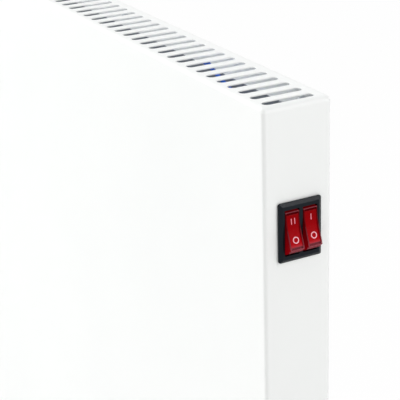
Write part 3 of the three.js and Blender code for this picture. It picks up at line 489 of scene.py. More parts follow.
WHITE_COAT = PowderCoat("powder_coated_steel", "#f8f9f8", 0.4)
ZINC = ZincSheet("galvanised_sheet_steel", "#e6e9ec", 0.42, metallic=0.05)
SHIELD_STEEL = HeatTintedSteel(
    "heat_tinted_sheet_steel", "#9298a1", 0.5, metallic=0.15, shade="#7d858f"
)
SHEATH = HeatTintedSteel(
    "drawn_stainless_sheath", "#7d756a", 0.36, metallic=0.9, shade="#5c4a3c", patch=22.0
)
FIN_ALUMINIUM = HeatTintedSteel(
    "extruded_aluminium", "#c9ccd0", 0.34, metallic=0.95, shade="#b9bcc0", grain=0.8
)
STEATITE = Moulded("unglazed_steatite", "#ebe5d6", 0.62, shade="#e0d8c5", grain=0.6, patch=5.0)
BLACK_POLYAMIDE = Moulded("black_moulded_polyamide", "#141b22", 0.3, specular=0.12, shade="#10161c")
PALE_POLYAMIDE = Moulded("natural_polyamide", "#e6e3d9", 0.5, shade="#dcd8cb", patch=9.0)
RUBBER = Moulded("moulded_rubber", "#1f1f20", 0.75, shade="#2a2a2a", grain=0.5, patch=11.0)
NICKEL = HeatTintedSteel(
    "nickel_plated_brass", "#d3ccb2", 0.28, metallic=0.95, shade="#c6bb98", patch=9.0
)
SCREW_ZINC = HeatTintedSteel(
    "bright_zinc_plated_steel", "#d2d6da", 0.34, metallic=0.6, shade="#c2c6ca", patch=4.0
)
RED_POLYCARBONATE = LitPolycarbonate(
    "lit_red_polycarbonate", "#840206", 0.2, ior=1.58, specular=0.02
)
LEGEND_INK = PadPrint("pad_print_white", "#ffd9e1", 0.4, specular=0.2)
THIN_INK = PadPrint("thin_pad_print_white", "#f4a2b0", 0.4, specular=0.1, blush="#ea8496")
BLUE_LEAD = SiliconeLead("blue_silicone_lead", "#1462d2", 0.5, specular=0.2)
BROWN_LEAD = SiliconeLead("brown_silicone_lead", "#5b3521", 0.5)
EARTH_LEAD = SiliconeLead("green_yellow_silicone_lead", "#3f8a2f", 0.5, stripe="#e2cf2a")


# Meshes


@dataclass
class Shell:
    """Patches of one piece, gathered as arrays and merged into one mesh that faces outwards."""

    points: list[Array] = field(default_factory=list)
    faces: list[list[int]] = field(default_factory=list)
    count: int = 0

    def _store(self, points: Array) -> int:
        """Keep some points.

        Args:
            points: any array whose last axis is x, y and z.

        Returns:
            The number of the first of them.
        """
        first = self.count
        self.points.append(points.reshape(-1, 3))
        self.count += len(self.points[-1])
        return first

    def grid(self, points: Array, wrap: bool = False, keep: Array | None = None) -> "Shell":
        """Add a patch whose points are a function of two parameters.

        Args:
            points: rows by columns by three.
            wrap: join the last column to the first.
            keep: rows - 1 by columns - 1 (or by columns, where it wraps), true for faces to keep.

        Returns:
            The shell itself.
        """
        rows, columns = points.shape[:2]
        number = self._store(points) + np.arange(rows * columns).reshape(rows, columns)
        if wrap:
            number = np.hstack([number, number[:, :1]])
        around = [number[:-1, :-1], number[1:, :-1], number[1:, 1:], number[:-1, 1:]]
        quads = stack(*around)
        chosen = quads.reshape(-1, 4) if keep is None else quads[keep]
        self.faces.extend(chosen.tolist())
        return self

    def cap(self, ring: Array) -> None:
        """Close a flat ring of points with one face."""
        first = self._store(ring)
        self.faces.append(list(range(first, first + len(ring))))

    def loft(self, rings: Array) -> "Shell":
        """Join rings of equal count one to the next, and close the first and the last.

        Args:
            rings: rings by points by three.

        Returns:
            The shell itself.
        """
        self.grid(rings, wrap=True)
        self.cap(rings[0])
        self.cap(rings[-1])
        return self

    def build(self, name: str) -> Object:
        """Merge the patches into an object at the origin.

        Args:
            name: piece's name.

        Returns:
            The new object, smooth, with weighted normals so that its flats stay flat.
        """
        mesh = bpy.data.meshes.new(name)
        mesh.from_pydata((np.vstack(self.points) * MM).tolist(), [], self.faces)
        shape = bmesh.new()
        shape.from_mesh(mesh)
        bmesh.ops.remove_doubles(shape, verts=shape.verts, dist=MERGE)
        bmesh.ops.recalc_face_normals(shape, faces=shape.faces)
        shape.to_mesh(mesh)
        shape.free()
        mesh.shade_smooth()
        piece = bpy.data.objects.new(name, mesh)
        bpy.context.scene.collection.objects.link(piece)
        weigh_normals(piece)
        return piece


def read_all(
    items: bpy.types.bpy_prop_collection, name: str, width: int = 1, kind: type = float
) -> Array:
    """One value of every item of a mesh, read at once.

    Args:
        items: its vertices, corners or faces.
        name: value's name.
        width: how many numbers each value has.
        kind: of the numbers.

    Returns:
        Items by width, or a row of values where the width is one.
    """
    found = np.empty(len(items) * width, kind)
    items.foreach_get(name, found)
    return found.reshape(-1, width) if width > 1 else found


def weigh_normals(piece: Object) -> None:
    """Let the large flat faces set the shading, and the small round ones blend into them.

    Args:
        piece: any piece.
    """
    weighted = piece.modifiers.new("flats", "WEIGHTED_NORMAL")
    weighted.weight = 100
    weighted.keep_sharp = True


def soften(piece: Object, edge: float, steps: int = 2, sharp: float = 35.0) -> None:
    """Round the sharp edges of a faceted piece without touching its mesh.

    Args:
        piece: a CAD node or another faceted piece.
        edge: width of the rounding in millimetres.
        steps: facets across the rounding.
        sharp: angle in degrees from which an edge is rounded.
    """
    piece.data.shade_smooth()
    weld = piece.modifiers.new("weld", "WELD")
    weld.merge_threshold = MERGE
    flat = piece.modifiers.new("flat", "DECIMATE")
    flat.decimate_type = "DISSOLVE"
    flat.angle_limit = radians(FLAT_WITHIN)
    bevel = piece.modifiers.new("edge", "BEVEL")
    bevel.width = edge * MM
    bevel.segments = steps
    bevel.limit_method = "ANGLE"
    bevel.angle_limit = radians(sharp)
    weigh_normals(piece)


def turns(steps: int, start: float = 0.0, sweep: float = tau) -> Array:
    """Angles of equal steps round a circle, the last one left out where it is a full turn."""
    return start + sweep * np.arange(steps) / steps


def revolved(rows: list[tuple[float | Array, float]], centre: Array, steps: int = 48) -> Array:
    """Rings about an axis along +Y: for each row, (radius cos, distance, radius sin).

    Args:
        rows: a radius, or one for each step, and a distance along +Y.
        centre: a point on the axis, from which the distances count.
        steps: points round each ring.

    Returns:
        Rows by steps by three.
    """
    angle = turns(steps)
    radius = np.array([row[0] * np.ones(steps) for row in rows])
    distance = np.array([np.full(steps, row[1], float) for row in rows])
    return centre + stack(radius * np.cos(angle), distance, radius * np.sin(angle))


def rounded(profile: list[Pair], radius: float, steps: int = 4) -> list[Pair]:
    """Replace each inner corner of a profile by a curve that leaves and meets it a radius away.

    Each curve is the quadratic one through the two points, with the corner as its control.

    Args:
        profile: corners in order.
        radius: distance from a corner at which its curve starts and ends.
        steps: stretches of each curve.

    Returns:
        The profile's ends and the points of all curves.
    """
    points = np.array(profile, float)
    result = [tuple(points[0])]
    share = np.linspace(0, 1, steps + 1)[:, None]
    for before, corner, after in zip(points[:-2], points[1:-1], points[2:]):
        into, out = before - corner, after - corner
        reach = min(radius, np.linalg.norm(into) / 2, np.linalg.norm(out) / 2)
        a = corner + into / np.linalg.norm(into) * reach
        b = corner + out / np.linalg.norm(out) * reach
        curve = (1 - share) ** 2 * a + 2 * share * (1 - share) * corner + share**2 * b
        result.extend(map(tuple, curve))
    result.append(tuple(points[-1]))
    return result


def joined(sides: list[tuple[Array, Array]]) -> Array:
    """One closed outline from its sides, each without its last point."""
    return np.concatenate([stack(*side)[:-1] for side in sides])


def border(across: Array, along: Array) -> Array:
    """Points once round a rectangle, out of the samples of its two sides.

    Args:
        across: samples of the first and third side, in order.
        along: samples of the second and fourth side, in order.

    Returns:
        Points by two, the last one next to the first.
    """
    return joined(
        [
            (across, np.full_like(across, along[0])),
            (np.full_like(along, across[-1]), along),
            (across[::-1], np.full_like(across, along[-1])),
            (np.full_like(along, across[0]), along[::-1]),
        ]
    )


def settle(piece: Object, finish: Finish, slot: str, *nodes: str, body: str = HEATER) -> None:
    """Dress a new piece, put it on its body and let it stand for its CAD nodes.

    Args:
        piece: finished piece.
        finish: what it is made of.
        slot: record's material slot, not used.
        *nodes: CAD nodes that it stands for.
        body: CAD body that it rides on.
    """
    finish.dress(piece)
    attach(piece, body)
    if nodes:
        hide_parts(*nodes)
    stands_for = ", ".join(nodes) or "itself"
    log.info("%s: %d faces, for %s", piece.name, len(piece.data.polygons), stands_for)


# Sub-assemblies


@dataclass
class Casing:
    """Folded and ground sheet-steel tray, with one row of air slots in its top and one below.

    Its skins are one closed profile carried round a rounded rectangle. The profile is an inset
    from the outline and a depth: front plane, bend, side, bend, return flange, and back inside.
    """

    sheet: float = 0.8
    bend: float = 2.1
    corner: float = 3.2
    flange: float = 15.0
    slot_pitch: float = 10.62
    slot_width: float = 5.2
    slot_front: float = 3.7
    slot_rear: float = 6.1
    slot_end: float = 5.5
    slot_edge: float = 0.25
    opening_clearance: float = 0.3
    opening_width: float = 21.4
    opening_height: float = 27.2
    bend_steps: int = 7
    corner_steps: int = 6
    arc_steps: int = 8
    opening_steps: int = 3
    rest_steps: int = 8

    def __post_init__(self) -> None:
        """Take the overall sizes and the switch's place from the frame."""
        self.low, self.high = node_box("front_casing")
        self.length, self.depth, self.height = self.high - self.low
        self.corner_place = np.array([self.low[0] + self.length / 2, self.low[1], self.high[2]])
        low, high = node_box("switch_housing")
        middle = (low + high) / 2 - self.corner_place
        half_width = self.opening_width / 2 + self.opening_clearance
        half_height = self.opening_height / 2 + self.opening_clearance
        self.opening_y = (middle[1] - half_width, middle[1] + half_width)
        self.opening_z = (middle[2] - half_height, middle[2] + half_height)

    def slot_centres(self) -> Array:
        """Middles of the slots along X, a row of equal steps about the casing's middle."""
        count = int((self.length - 2 * self.slot_end) // self.slot_pitch) + 1
        return (np.arange(count) - (count - 1) / 2) * self.slot_pitch

    def side_samples(self) -> Array:
        """Depths at which the sides are divided, among them the edges of the switch opening."""
        opening = np.linspace(*self.opening_y, self.opening_steps + 1)
        return np.array([self.bend, *opening, self.depth - self.bend])

    def cell_edges(self) -> Array:
        """Borders between the slots' cells, the outermost at the start of the casing's corners.

        Returns:
            One more value along X than there are slots.
        """
        centres = self.slot_centres()
        reach = self.length / 2 - self.corner
        return np.array([-reach, *((centres[1:] + centres[:-1]) / 2), reach])

    def along_samples(self) -> Array:
        """Places along X that all long patches share, so that their edges meet point to point.

        Returns:
            The cells' borders, with equal steps between each two.
        """
        edges = self.cell_edges()
        share = np.arange(self.arc_steps) / self.arc_steps
        inner = edges[:-1, None] + (edges[1:] - edges[:-1])[:, None] * share
        return np.append(inner.ravel(), edges[-1])

    def up_samples(self) -> Array:
        """Heights that the front and the ends share, from the top down.

        Returns:
            The upper corner's end, the opening's heights, and equal steps to the lower corner.
        """
        foot = self.corner - self.height
        opening = np.linspace(self.opening_z[1], self.opening_z[0], self.opening_steps + 1)
        rest = np.linspace(opening[-1], foot, self.rest_steps + 1)[1:]
        return np.array([-self.corner, *opening, *rest])

    def outline(self, inset: Array) -> Array:
        """Rounded rectangle drawn in by an inset, clockwise from the top left, seen from the front.

        Straight parts keep their samples and are held inside the inset corners. A corner is a
        quarter circle whose radius shrinks with the inset, to nothing past its own radius.

        Args:
            inset: one value for each row.

        Returns:
            Rows by samples by two, as x and z.
        """
        d = np.asarray(inset, float)[:, None]
        half = self.length / 2
        radius = np.maximum(self.corner - d, 0)
        centre = np.maximum(self.corner, d)
        x = np.clip(self.along_samples(), d - half, half - d)
        z = np.clip(self.up_samples(), d - self.height, -d)
        quarter = np.linspace(0, pi / 2, self.corner_steps + 1)[1:-1]
        level = np.ones_like(x) * d
        plumb = np.ones_like(z) * d
        top, foot = -centre, centre - self.height
        sides = [
            (x, -level),
            (half - plumb, z),
            (x[:, ::-1], level - self.height),
            (plumb - half, z[:, ::-1]),
        ]
        parts = []
        places = zip(sides, (1, 1, -1, -1), (top, foot, foot, top))
        for number, (side, sign, middle) in enumerate(places):
            angle = (1 - number) * pi / 2 - quarter
            bow_x = sign * (half - centre) + radius * np.cos(angle)
            bow_z = middle + radius * np.sin(angle)
            parts += [stack(*side), stack(bow_x, bow_z)]
        return np.concatenate(parts, axis=1)

    def skin_profile(self, inward: float) -> tuple[Array, Array]:
        """Inset and depth of one skin, from the flat front to the return flange's edge.

        Args:
            inward: nothing for the outer skin, the sheet's thickness for the inner one.

        Returns:
            One inset and one depth for each row.
        """
        angle = np.linspace(0, pi / 2, self.bend_steps + 1)
        radius = self.bend - inward
        front_inset = self.bend - radius * np.sin(angle)
        front_depth = self.bend - radius * np.cos(angle)
        side = self.side_samples()[1:-1]
        flat = np.full_like(side, inward)
        rear_inset = [*front_inset[::-1], self.corner, self.flange]
        rear_depth = [*(self.depth - front_depth[::-1]), *[self.depth - inward] * 2]
        inset = np.array([self.corner, *front_inset, *flat, *rear_inset])
        return inset, np.array([inward, *front_depth, *side, *rear_depth])

    def skins(self) -> Shell:
        """Both skins with their bends, ends and flanges, open at the slots' cells and the switch.

        Returns:
            A shell of one patch that closes on itself.
        """
        outer_inset, outer_depth = self.skin_profile(0)
        inner_inset, inner_depth = self.skin_profile(self.sheet)
        inset = np.concatenate([outer_inset, inner_inset[::-1]])
        depth = np.concatenate([outer_depth, inner_depth[::-1]])
        outline = self.outline(inset)
        count = outline.shape[1]
        level = np.repeat(depth[:, None], count, axis=1)
        points = stack(outline[..., 0], level, outline[..., 1])
        along, up = len(self.along_samples()), len(self.up_samples())
        bow = self.corner_steps - 1
        column = np.arange(count)
        right = along + bow
        bottom = right + up + bow
        on_top = column < along - 1
        on_slats = on_top | ((column >= bottom) & (column < bottom + along - 1))
        first = 1 + self.bend_steps
        sides = len(self.side_samples()) - 1
        row = np.arange(len(depth) - 1)
        last = len(depth) - 2 - first
        on_side = ((row >= first) & (row < first + sides)) | ((row <= last) & (row > last - sides))
        middle_depth = (depth[:-1] + depth[1:]) / 2
        deep = (middle_depth > self.opening_y[0]) & (middle_depth < self.opening_y[1]) & on_side
        heights = self.up_samples()
        in_switch = np.zeros(count, bool)
        middles = (heights[:-1] + heights[1:]) / 2
        within = (middles < self.opening_z[1]) & (middles > self.opening_z[0])
        in_switch[right : right + up - 1] = within
        gone = (on_side[:, None] & on_slats[None, :]) | (deep[:, None] & in_switch[None, :])
        return Shell().grid(points, wrap=True, keep=~gone)

    def add_front(self, shell: Shell) -> None:
        """Flat front and its inner face, two grids that meet the skins' first and last rows.

        Args:
            shell: casing's shell.
        """
        x, z = np.meshgrid(self.along_samples(), self.up_samples(), indexing="ij")
        for depth in (0.0, self.sheet):
            shell.grid(stack(x, np.full_like(x, depth), z))

    def slot_outline(self, middle: float, radius: float) -> Array:
        """Rounded slot as two half circles and two straight sides, with a border's count of points.

        Args:
            middle: its place along X.
            radius: of its round ends.

        Returns:
            Points by two, as x and depth.
        """
        side = self.side_samples()
        share = (side - side[0]) / (side[-1] - side[0])
        front = self.slot_front + self.slot_width / 2
        rear = self.depth - self.slot_rear - self.slot_width / 2
        straight = front + share * (rear - front)
        sweep = np.linspace(pi, tau, self.arc_steps + 1)
        across, deep = radius * np.cos(sweep), radius * np.sin(sweep)
        return joined(
            [
                (middle + across, front + deep),
                (np.full_like(straight, middle + radius), straight),
                (middle - across, rear - deep),
                (np.full_like(straight, middle - radius), straight[::-1]),
            ]
        )

    def add_slots(self, shell: Shell) -> None:
        """Slotted top and bottom: in each cell, rings from its border to a slot and through it.

        A ring is a slot outline widened by a fillet that follows a quarter circle at each face.

        Args:
            shell: casing's shell.
        """
        turn = np.array([0, pi / 4, pi / 2])
        widen = self.slot_edge * (1 - np.sin(turn))
        sink = self.slot_edge * (1 - np.cos(turn))
        radii = self.slot_width / 2 + np.concatenate([widen, widen[::-1]])
        depths = np.concatenate([[0], sink, self.sheet - sink[::-1], [self.sheet]])
        edges = self.cell_edges()
        for middle, low, high in zip(self.slot_centres(), edges[:-1], edges[1:]):
            cell = border(np.linspace(low, high, self.arc_steps + 1), self.side_samples())
            slots = [self.slot_outline(middle, radius) for radius in radii]
            flat = np.array([cell, *slots, cell])
            level = np.repeat(depths[:, None], flat.shape[1], axis=1)
            for height in (-level, level - self.height):
                shell.grid(np.concatenate([flat, height[..., None]], axis=-1), wrap=True)

    def add_opening_edge(self, shell: Shell) -> None:
        """Cut edge of the sheet round the switch, from the outer skin to the inner one.

        Args:
            shell: casing's shell.
        """
        up = self.up_samples()[1 : self.opening_steps + 2][::-1]
        edge = border(self.side_samples()[1:-1], up)
        outside = self.length / 2
        rings = [np.insert(edge, 0, x, axis=1) for x in (outside, outside - self.sheet)]
        shell.grid(np.array(rings), wrap=True)

    def build(self) -> None:
        """Make the casing and let it stand for its CAD node."""
        shell = self.skins()
        self.add_front(shell)
        self.add_slots(shell)
        self.add_opening_edge(shell)
        shell.points = [points + self.corner_place for points in shell.points]
        settle(shell.build("casing_shell"), WHITE_COAT, "white_enamel", "front_casing")


@dataclass
class RearPanel:
    """Galvanised back plate with two long pressed beads and the two slots for the hooks.

    The plate is a height field: a bead rises by a smooth step over its flank, counted by the
    distance to the line between the centres of its round ends.
    """

    sheet: float = 0.8
    bead_length: float = 380.0
    bead_width: float = 16.0
    bead_rise: float = 2.4
    bead_flank: float = 3.6
    bead_heights: Pair = (-90.0, -190.0)
    hook_play: float = 2.0
    hook_top: float = 1.05
    hook_drop: float = 13.0
    hook_spacing: float = 340.0
    hook_width: float = 22.0
    lines_along: int = 25
    lines_up: int = 15
    lines_at_end: int = 15
    lines_over_bead: int = 17

    def rise(self, x: Array, z: Array) -> Array:
        """Height of the beads over the plate at each place.

        Args:
            x: places along the plate.
            z: heights, as many.

        Returns:
            The rise at each of them.
        """
        half = self.bead_width / 2
        reach = self.bead_length / 2 - half
        total = np.zeros_like(x)
        for height in self.bead_heights:
            distance = np.hypot(np.maximum(np.abs(x) - reach, 0), z - height)
            share = np.clip((half - distance) / self.bead_flank, 0, 1)
            total += self.bead_rise * share**2 * (3 - 2 * share)
        return total

    def build(self) -> None:
        """Make the plate as one skin and give it its thickness."""
        low, high = node_box("rear_panel")
        outer = high[1] - self.bead_rise - self.sheet
        half = self.hook_width / 2 + self.hook_play
        ends = self.bead_length / 2 + np.linspace(-self.bead_width / 2 - 1, 1, self.lines_at_end)
        hooks = [side * self.hook_spacing / 2 + edge * half for side in (-1, 1) for edge in (-1, 1)]
        plain = np.linspace(low[0], high[0], self.lines_along)
        x_lines = np.unique(np.round([*plain, *ends, *-ends, *hooks], 4))
        over = np.linspace(-self.bead_width / 2, self.bead_width / 2, self.lines_over_bead)
        beads = [height + over for height in self.bead_heights]
        slot = [self.hook_top - self.hook_drop, self.hook_top]
        plain = np.linspace(low[2], high[2], self.lines_up)
        z_lines = np.unique(np.round([*plain, *np.ravel(beads), *slot], 4))
        x, z = np.meshgrid(x_lines, z_lines, indexing="ij")
        y = outer + self.sheet / 2 + self.rise(x, z)
        middle_x = (x_lines[:-1] + x_lines[1:]) / 2
        middle_z = (z_lines[:-1] + z_lines[1:]) / 2
        beside = np.abs(np.abs(middle_x) - self.hook_spacing / 2) < half
        within = (middle_z > slot[0]) & (middle_z < slot[1])
        keep = ~(beside[:, None] & within[None, :])
        plate = Shell().grid(stack(x, y, z), keep=keep).build("rear_panel_plate")
        thick = plate.modifiers.new("sheet", "SOLIDIFY")
        thick.thickness = self.sheet * MM
        thick.offset = 0
        settle(plate, ZINC, "zinc_steel", "rear_panel")


@dataclass
class CrossScrew:
    """Pan-head screw with a cross recess: rings from the shank over the dome and into the cross.

    The cross is drawn by one radius for each angle: the end of an arm, or else the arm's side.
    """

    shank: float = 1.6
    tip: float = 0.3
    head: float = 3.5
    height: float = 2.2
    rim: float = 0.15
    rim_share: float = 0.35
    crown: float = 2.1
    fullness: float = 2.2
    dome_steps: int = 5
    arm: float = 1.75
    arm_width: float = 0.62
    ease: float = 0.08
    ease_depth: float = 0.1
    recess: float = 1.3
    taper: Pair = (0.62, 0.7)
    point: float = 0.2
    point_share: float = 1.2
    steps: int = 48

    def cross(self, reach: float, width: float) -> Array:
        """Radius of a plus-shaped outline at each step round the axis.

        Args:
            reach: from the axis to the end of an arm.
            width: half width of an arm.

        Returns:
            One radius for each step.
        """
        angle = np.mod(turns(self.steps) + pi / 4, pi / 2) - pi / 4
        end = reach / np.cos(angle)
        side = width / np.maximum(np.abs(np.sin(angle)), TINY)
        return np.minimum(end, side)

    def rings(self, seat: Array, length: float) -> Array:
        """All rings of a screw whose head sits on a point and looks along +Y.

        Args:
            seat: middle of the head's underside.
            length: how far the shank goes in.

        Returns:
            Rings by steps by three.
        """
        dome = np.linspace(0, 1, self.dome_steps + 1)
        radius = self.head - (self.head - self.crown) * dome**self.fullness
        rise = self.rim_share + (1 - self.rim_share) * np.sin(dome * pi / 2)
        eased = self.cross(self.arm + self.ease, self.arm_width + self.ease)
        narrow = self.cross(self.arm * self.taper[0], self.arm_width * self.taper[1])
        rows = [
            (self.tip, -length),
            (self.shank, -length + self.shank),
            (self.shank, 0),
            (self.head - self.rim, 0),
            (self.head, self.rim),
            *zip(radius, self.height * rise),
            (eased, self.height),
            (self.cross(self.arm, self.arm_width), self.height - self.ease_depth),
            (narrow, self.height - self.recess),
            (self.cross(self.point, self.point), self.height - self.recess * self.point_share),
        ]
        return revolved(rows, seat, self.steps)


@dataclass
class Fastenings:
    """Screws of the rear panel and of the earth lead."""

    count: int = 10
    panel: CrossScrew = field(default_factory=CrossScrew)
    earth: CrossScrew = field(
        default_factory=lambda: CrossScrew(shank=2.0, head=4.0, height=2.4, arm=2.0)
    )

    def build(self) -> None:
        """Make a screw for each CAD screw, its head's seat where the node's head starts."""
        for number in range(1, self.count + 1):
            self.drive(self.panel, f"rear_screw_{number}", f"panel_screw_{number}")
        self.drive(self.earth, "earth_screw", "earth_stud_screw")

    def drive(self, screw: CrossScrew, node: str, name: str) -> None:
        """Make one screw in the place of its node.

        Args:
            screw: its sizes.
            node: CAD screw.
            name: new piece's name.
        """
        low, high = node_box(node)
        middle = (low + high) / 2
        seat = np.array([middle[0], high[1] - screw.height, middle[2]])
        shell = Shell().loft(screw.rings(seat, seat[1] - low[1]))
        settle(shell.build(name), SCREW_ZINC, "zinc_steel", node)


@dataclass
class WallFixings:
    """Rubber spacers at the foot of the rear panel, and the zinc rail with its hooks."""

    pad: float = 14.0
    pad_thickness: float = 3.0
    neck: float = 8.5
    stub: float = 3.7
    barb: float = 4.7
    barb_length: float = 3.0
    hollow: float = 5.0
    hollow_depth: float = 1.2
    waist: float = 1.2
    ease: float = 0.8
    sheet: float = 0.8
    play: float = 0.3
    rail_edge: float = 0.3

    def profile(self, depth: float, seat: float) -> list[Pair]:
        """Radius and distance of a spacer, from its barb inside the panel to its foot on the wall.

        Args:
            depth: from the barb's tip to the wall.
            seat: from the barb's tip to the panel's outer face.

        Returns:
            The corners, each with a soft curve.
        """
        corners = [
            (0.0, 0.0),
            (self.stub, 0.0),
            (self.barb, self.barb_length),
            (self.stub, self.barb_length),
            (self.stub, seat),
            (self.neck, seat),
            (self.neck - self.waist, (seat + depth) / 2),
            (self.neck, depth - 2 * self.pad_thickness),
            (self.pad, depth - self.pad_thickness),
            (self.pad, depth),
            (self.hollow, depth),
            (self.hollow, depth - self.hollow_depth),
            (0.0, depth - self.hollow_depth),
        ]
        return rounded(corners, self.ease)

    def build(self) -> None:
        """Make both spacers, and round the rail's edges where it stands."""
        seat = node_box("rear_panel")[0][1] + self.sheet + self.play
        for side in ("left", "right"):
            node = f"wall_spacer_{side}"
            low, high = node_box(node)
            centre = np.array([(low[0] + high[0]) / 2, low[1], (low[2] + high[2]) / 2])
            profile = self.profile(high[1] - low[1], seat - low[1])
            shell = Shell().grid(revolved(profile, centre), wrap=True)
            settle(shell.build(f"rubber_spacer_{side}"), RUBBER, "black_rubber", node)
        rail = frame["nodes"]["wall_rail"]
        soften(rail, self.rail_edge)
        ZINC.dress(rail)


@dataclass
class CableEntry:
    """Gland for the supply cord: six-sided body and fluted cap, and the nut inside.

    The dome says, from the side to the mouth, how far its points are in from the cap's side and
    short of its end.
    """

    hexagon: float = 10.5
    hexagon_height: float = 5.0
    chamfer: Pair = (0.5, 0.4)
    ease: float = 0.1
    cap: float = 8.5
    dome: tuple[Pair, ...] = ((0.7, 1.6), (1.9, 0.4), (3.0, 0.0))
    barrel: float = 7.5
    lead_in: float = 0.4
    bore: float = 4.0
    mouth: float = 0.5
    flutes: int = 18
    flute_depth: float = 0.35
    flute_start: float = 0.6
    flute_end: float = 3.4
    seat: float = 1.1
    nut_play: float = 0.2
    steps: int = 144

    def six_sided(self, start: float, end: float) -> list[tuple[Array, float]]:
        """Rows of a six-sided body with chamfered ends and eased corners.

        Args:
            start: where it starts along +Y.
            end: where it ends.

        Returns:
            A radius for each step and a distance, four times.
        """
        angle = np.mod(turns(self.steps), pi / 3) - pi / 6
        flat = self.hexagon * cos(pi / 6) / np.cos(angle)
        side = np.minimum(flat, self.hexagon - self.ease)
        inward, deep = self.chamfer
        return [
            (side - inward, start),
            (side, start + deep),
            (side, end - deep),
            (side - inward, end),
        ]

    def build(self) -> None:
        """Make the gland and its nut about the axis of their nodes."""
        low, high = node_box("cable_gland")
        centre = np.array([(low[0] + high[0]) / 2, 0.0, (low[2] + high[2]) / 2])
        seat = node_box("rear_panel")[0][1] + self.seat
        top = seat + self.hexagon_height
        start, end = low[1], high[1]
        wave = 0.5 - 0.5 * np.cos(self.flutes * turns(self.steps))
        flute = self.cap - self.flute_depth * wave
        rows = [
            (self.bore, start),
            (self.barrel - self.lead_in, start),
            (self.barrel, start + self.lead_in),
            (self.barrel, seat),
            *self.six_sided(seat, top),
            (flute - self.ease, top),
            (flute, top + self.flute_start),
            (flute, end - self.flute_end),
            *((self.cap - inward, end - back) for inward, back in self.dome),
            (self.bore + self.mouth, end),
            (self.bore, end - self.mouth),
            (self.bore, start),
        ]
        gland = Shell().grid(revolved(rows, centre, self.steps), wrap=True)
        settle(gland.build("gland_body"), BLACK_POLYAMIDE, "black_polyamide", "cable_gland")
        low, high = node_box("gland_nut")
        hole = self.barrel + self.nut_play
        body = self.six_sided(low[1], high[1])
        rows = [(hole, low[1]), *body, (hole, high[1]), (hole, low[1])]
        nut = Shell().grid(revolved(rows, centre, self.steps), wrap=True)
        settle(nut.build("gland_lock_nut"), BLACK_POLYAMIDE, "black_polyamide", "gland_nut")


class Legend(Enum):
    """Generic marks on the rockers: the upper one says which stage, the lower one is off."""

    ONE_BAR = (0.0,)
    TWO_BARS = (-1.0, 1.0)


@dataclass(frozen=True)
class Zones:
    """How much the lit plastic looks thin, has painted highlights and reflections, or is lit.

    The reaches and blends are in millimetres and say how far a zone goes past the edge that it is
    named for, but the end blend counts in bevels. The rest are shares of one. A pair of painted
    highlights or reflections is for the upper and the lower end, or for the middle and what comes
    on top of it at the end.
    """

    side_blend: Pair = (0.04, 0.03)
    end_blend: Pair = (0.08, 0.12)
    face_reach: Pair = (0.5, 0.3)
    wall_reach: Pair = (0.1, 0.12)
    crest_reach: Pair = (0.06, 0.16)
    slope_reach: float = 0.1
    foot_reach: float = 0.2
    slope_thin: float = 0.45
    # Shares of pale pink painted as highlights on the crests and at the face's lower edge, and as
    # reflections on the lower end and on the walls' tops.
    crest_painted_highlight: Pair = (0.6, 0.85)
    foot_painted_reflection: float = 0.85
    wall_painted_reflection: Pair = (0.2, 0.45)
    wall_painted_reflection_top: float = 0.4
    edge_painted_highlight: float = 0.45
    edge_reach: float = 1.2
    face_glow: Pair = (0.1, 0.9)
    glow_power: float = 1.5
    slope_glow: float = 0.15
    other_glow: float = 0.1
    cheek_thin: float = 0.45
    cheek_glow: float = 0.5
    upright: float = 0.9


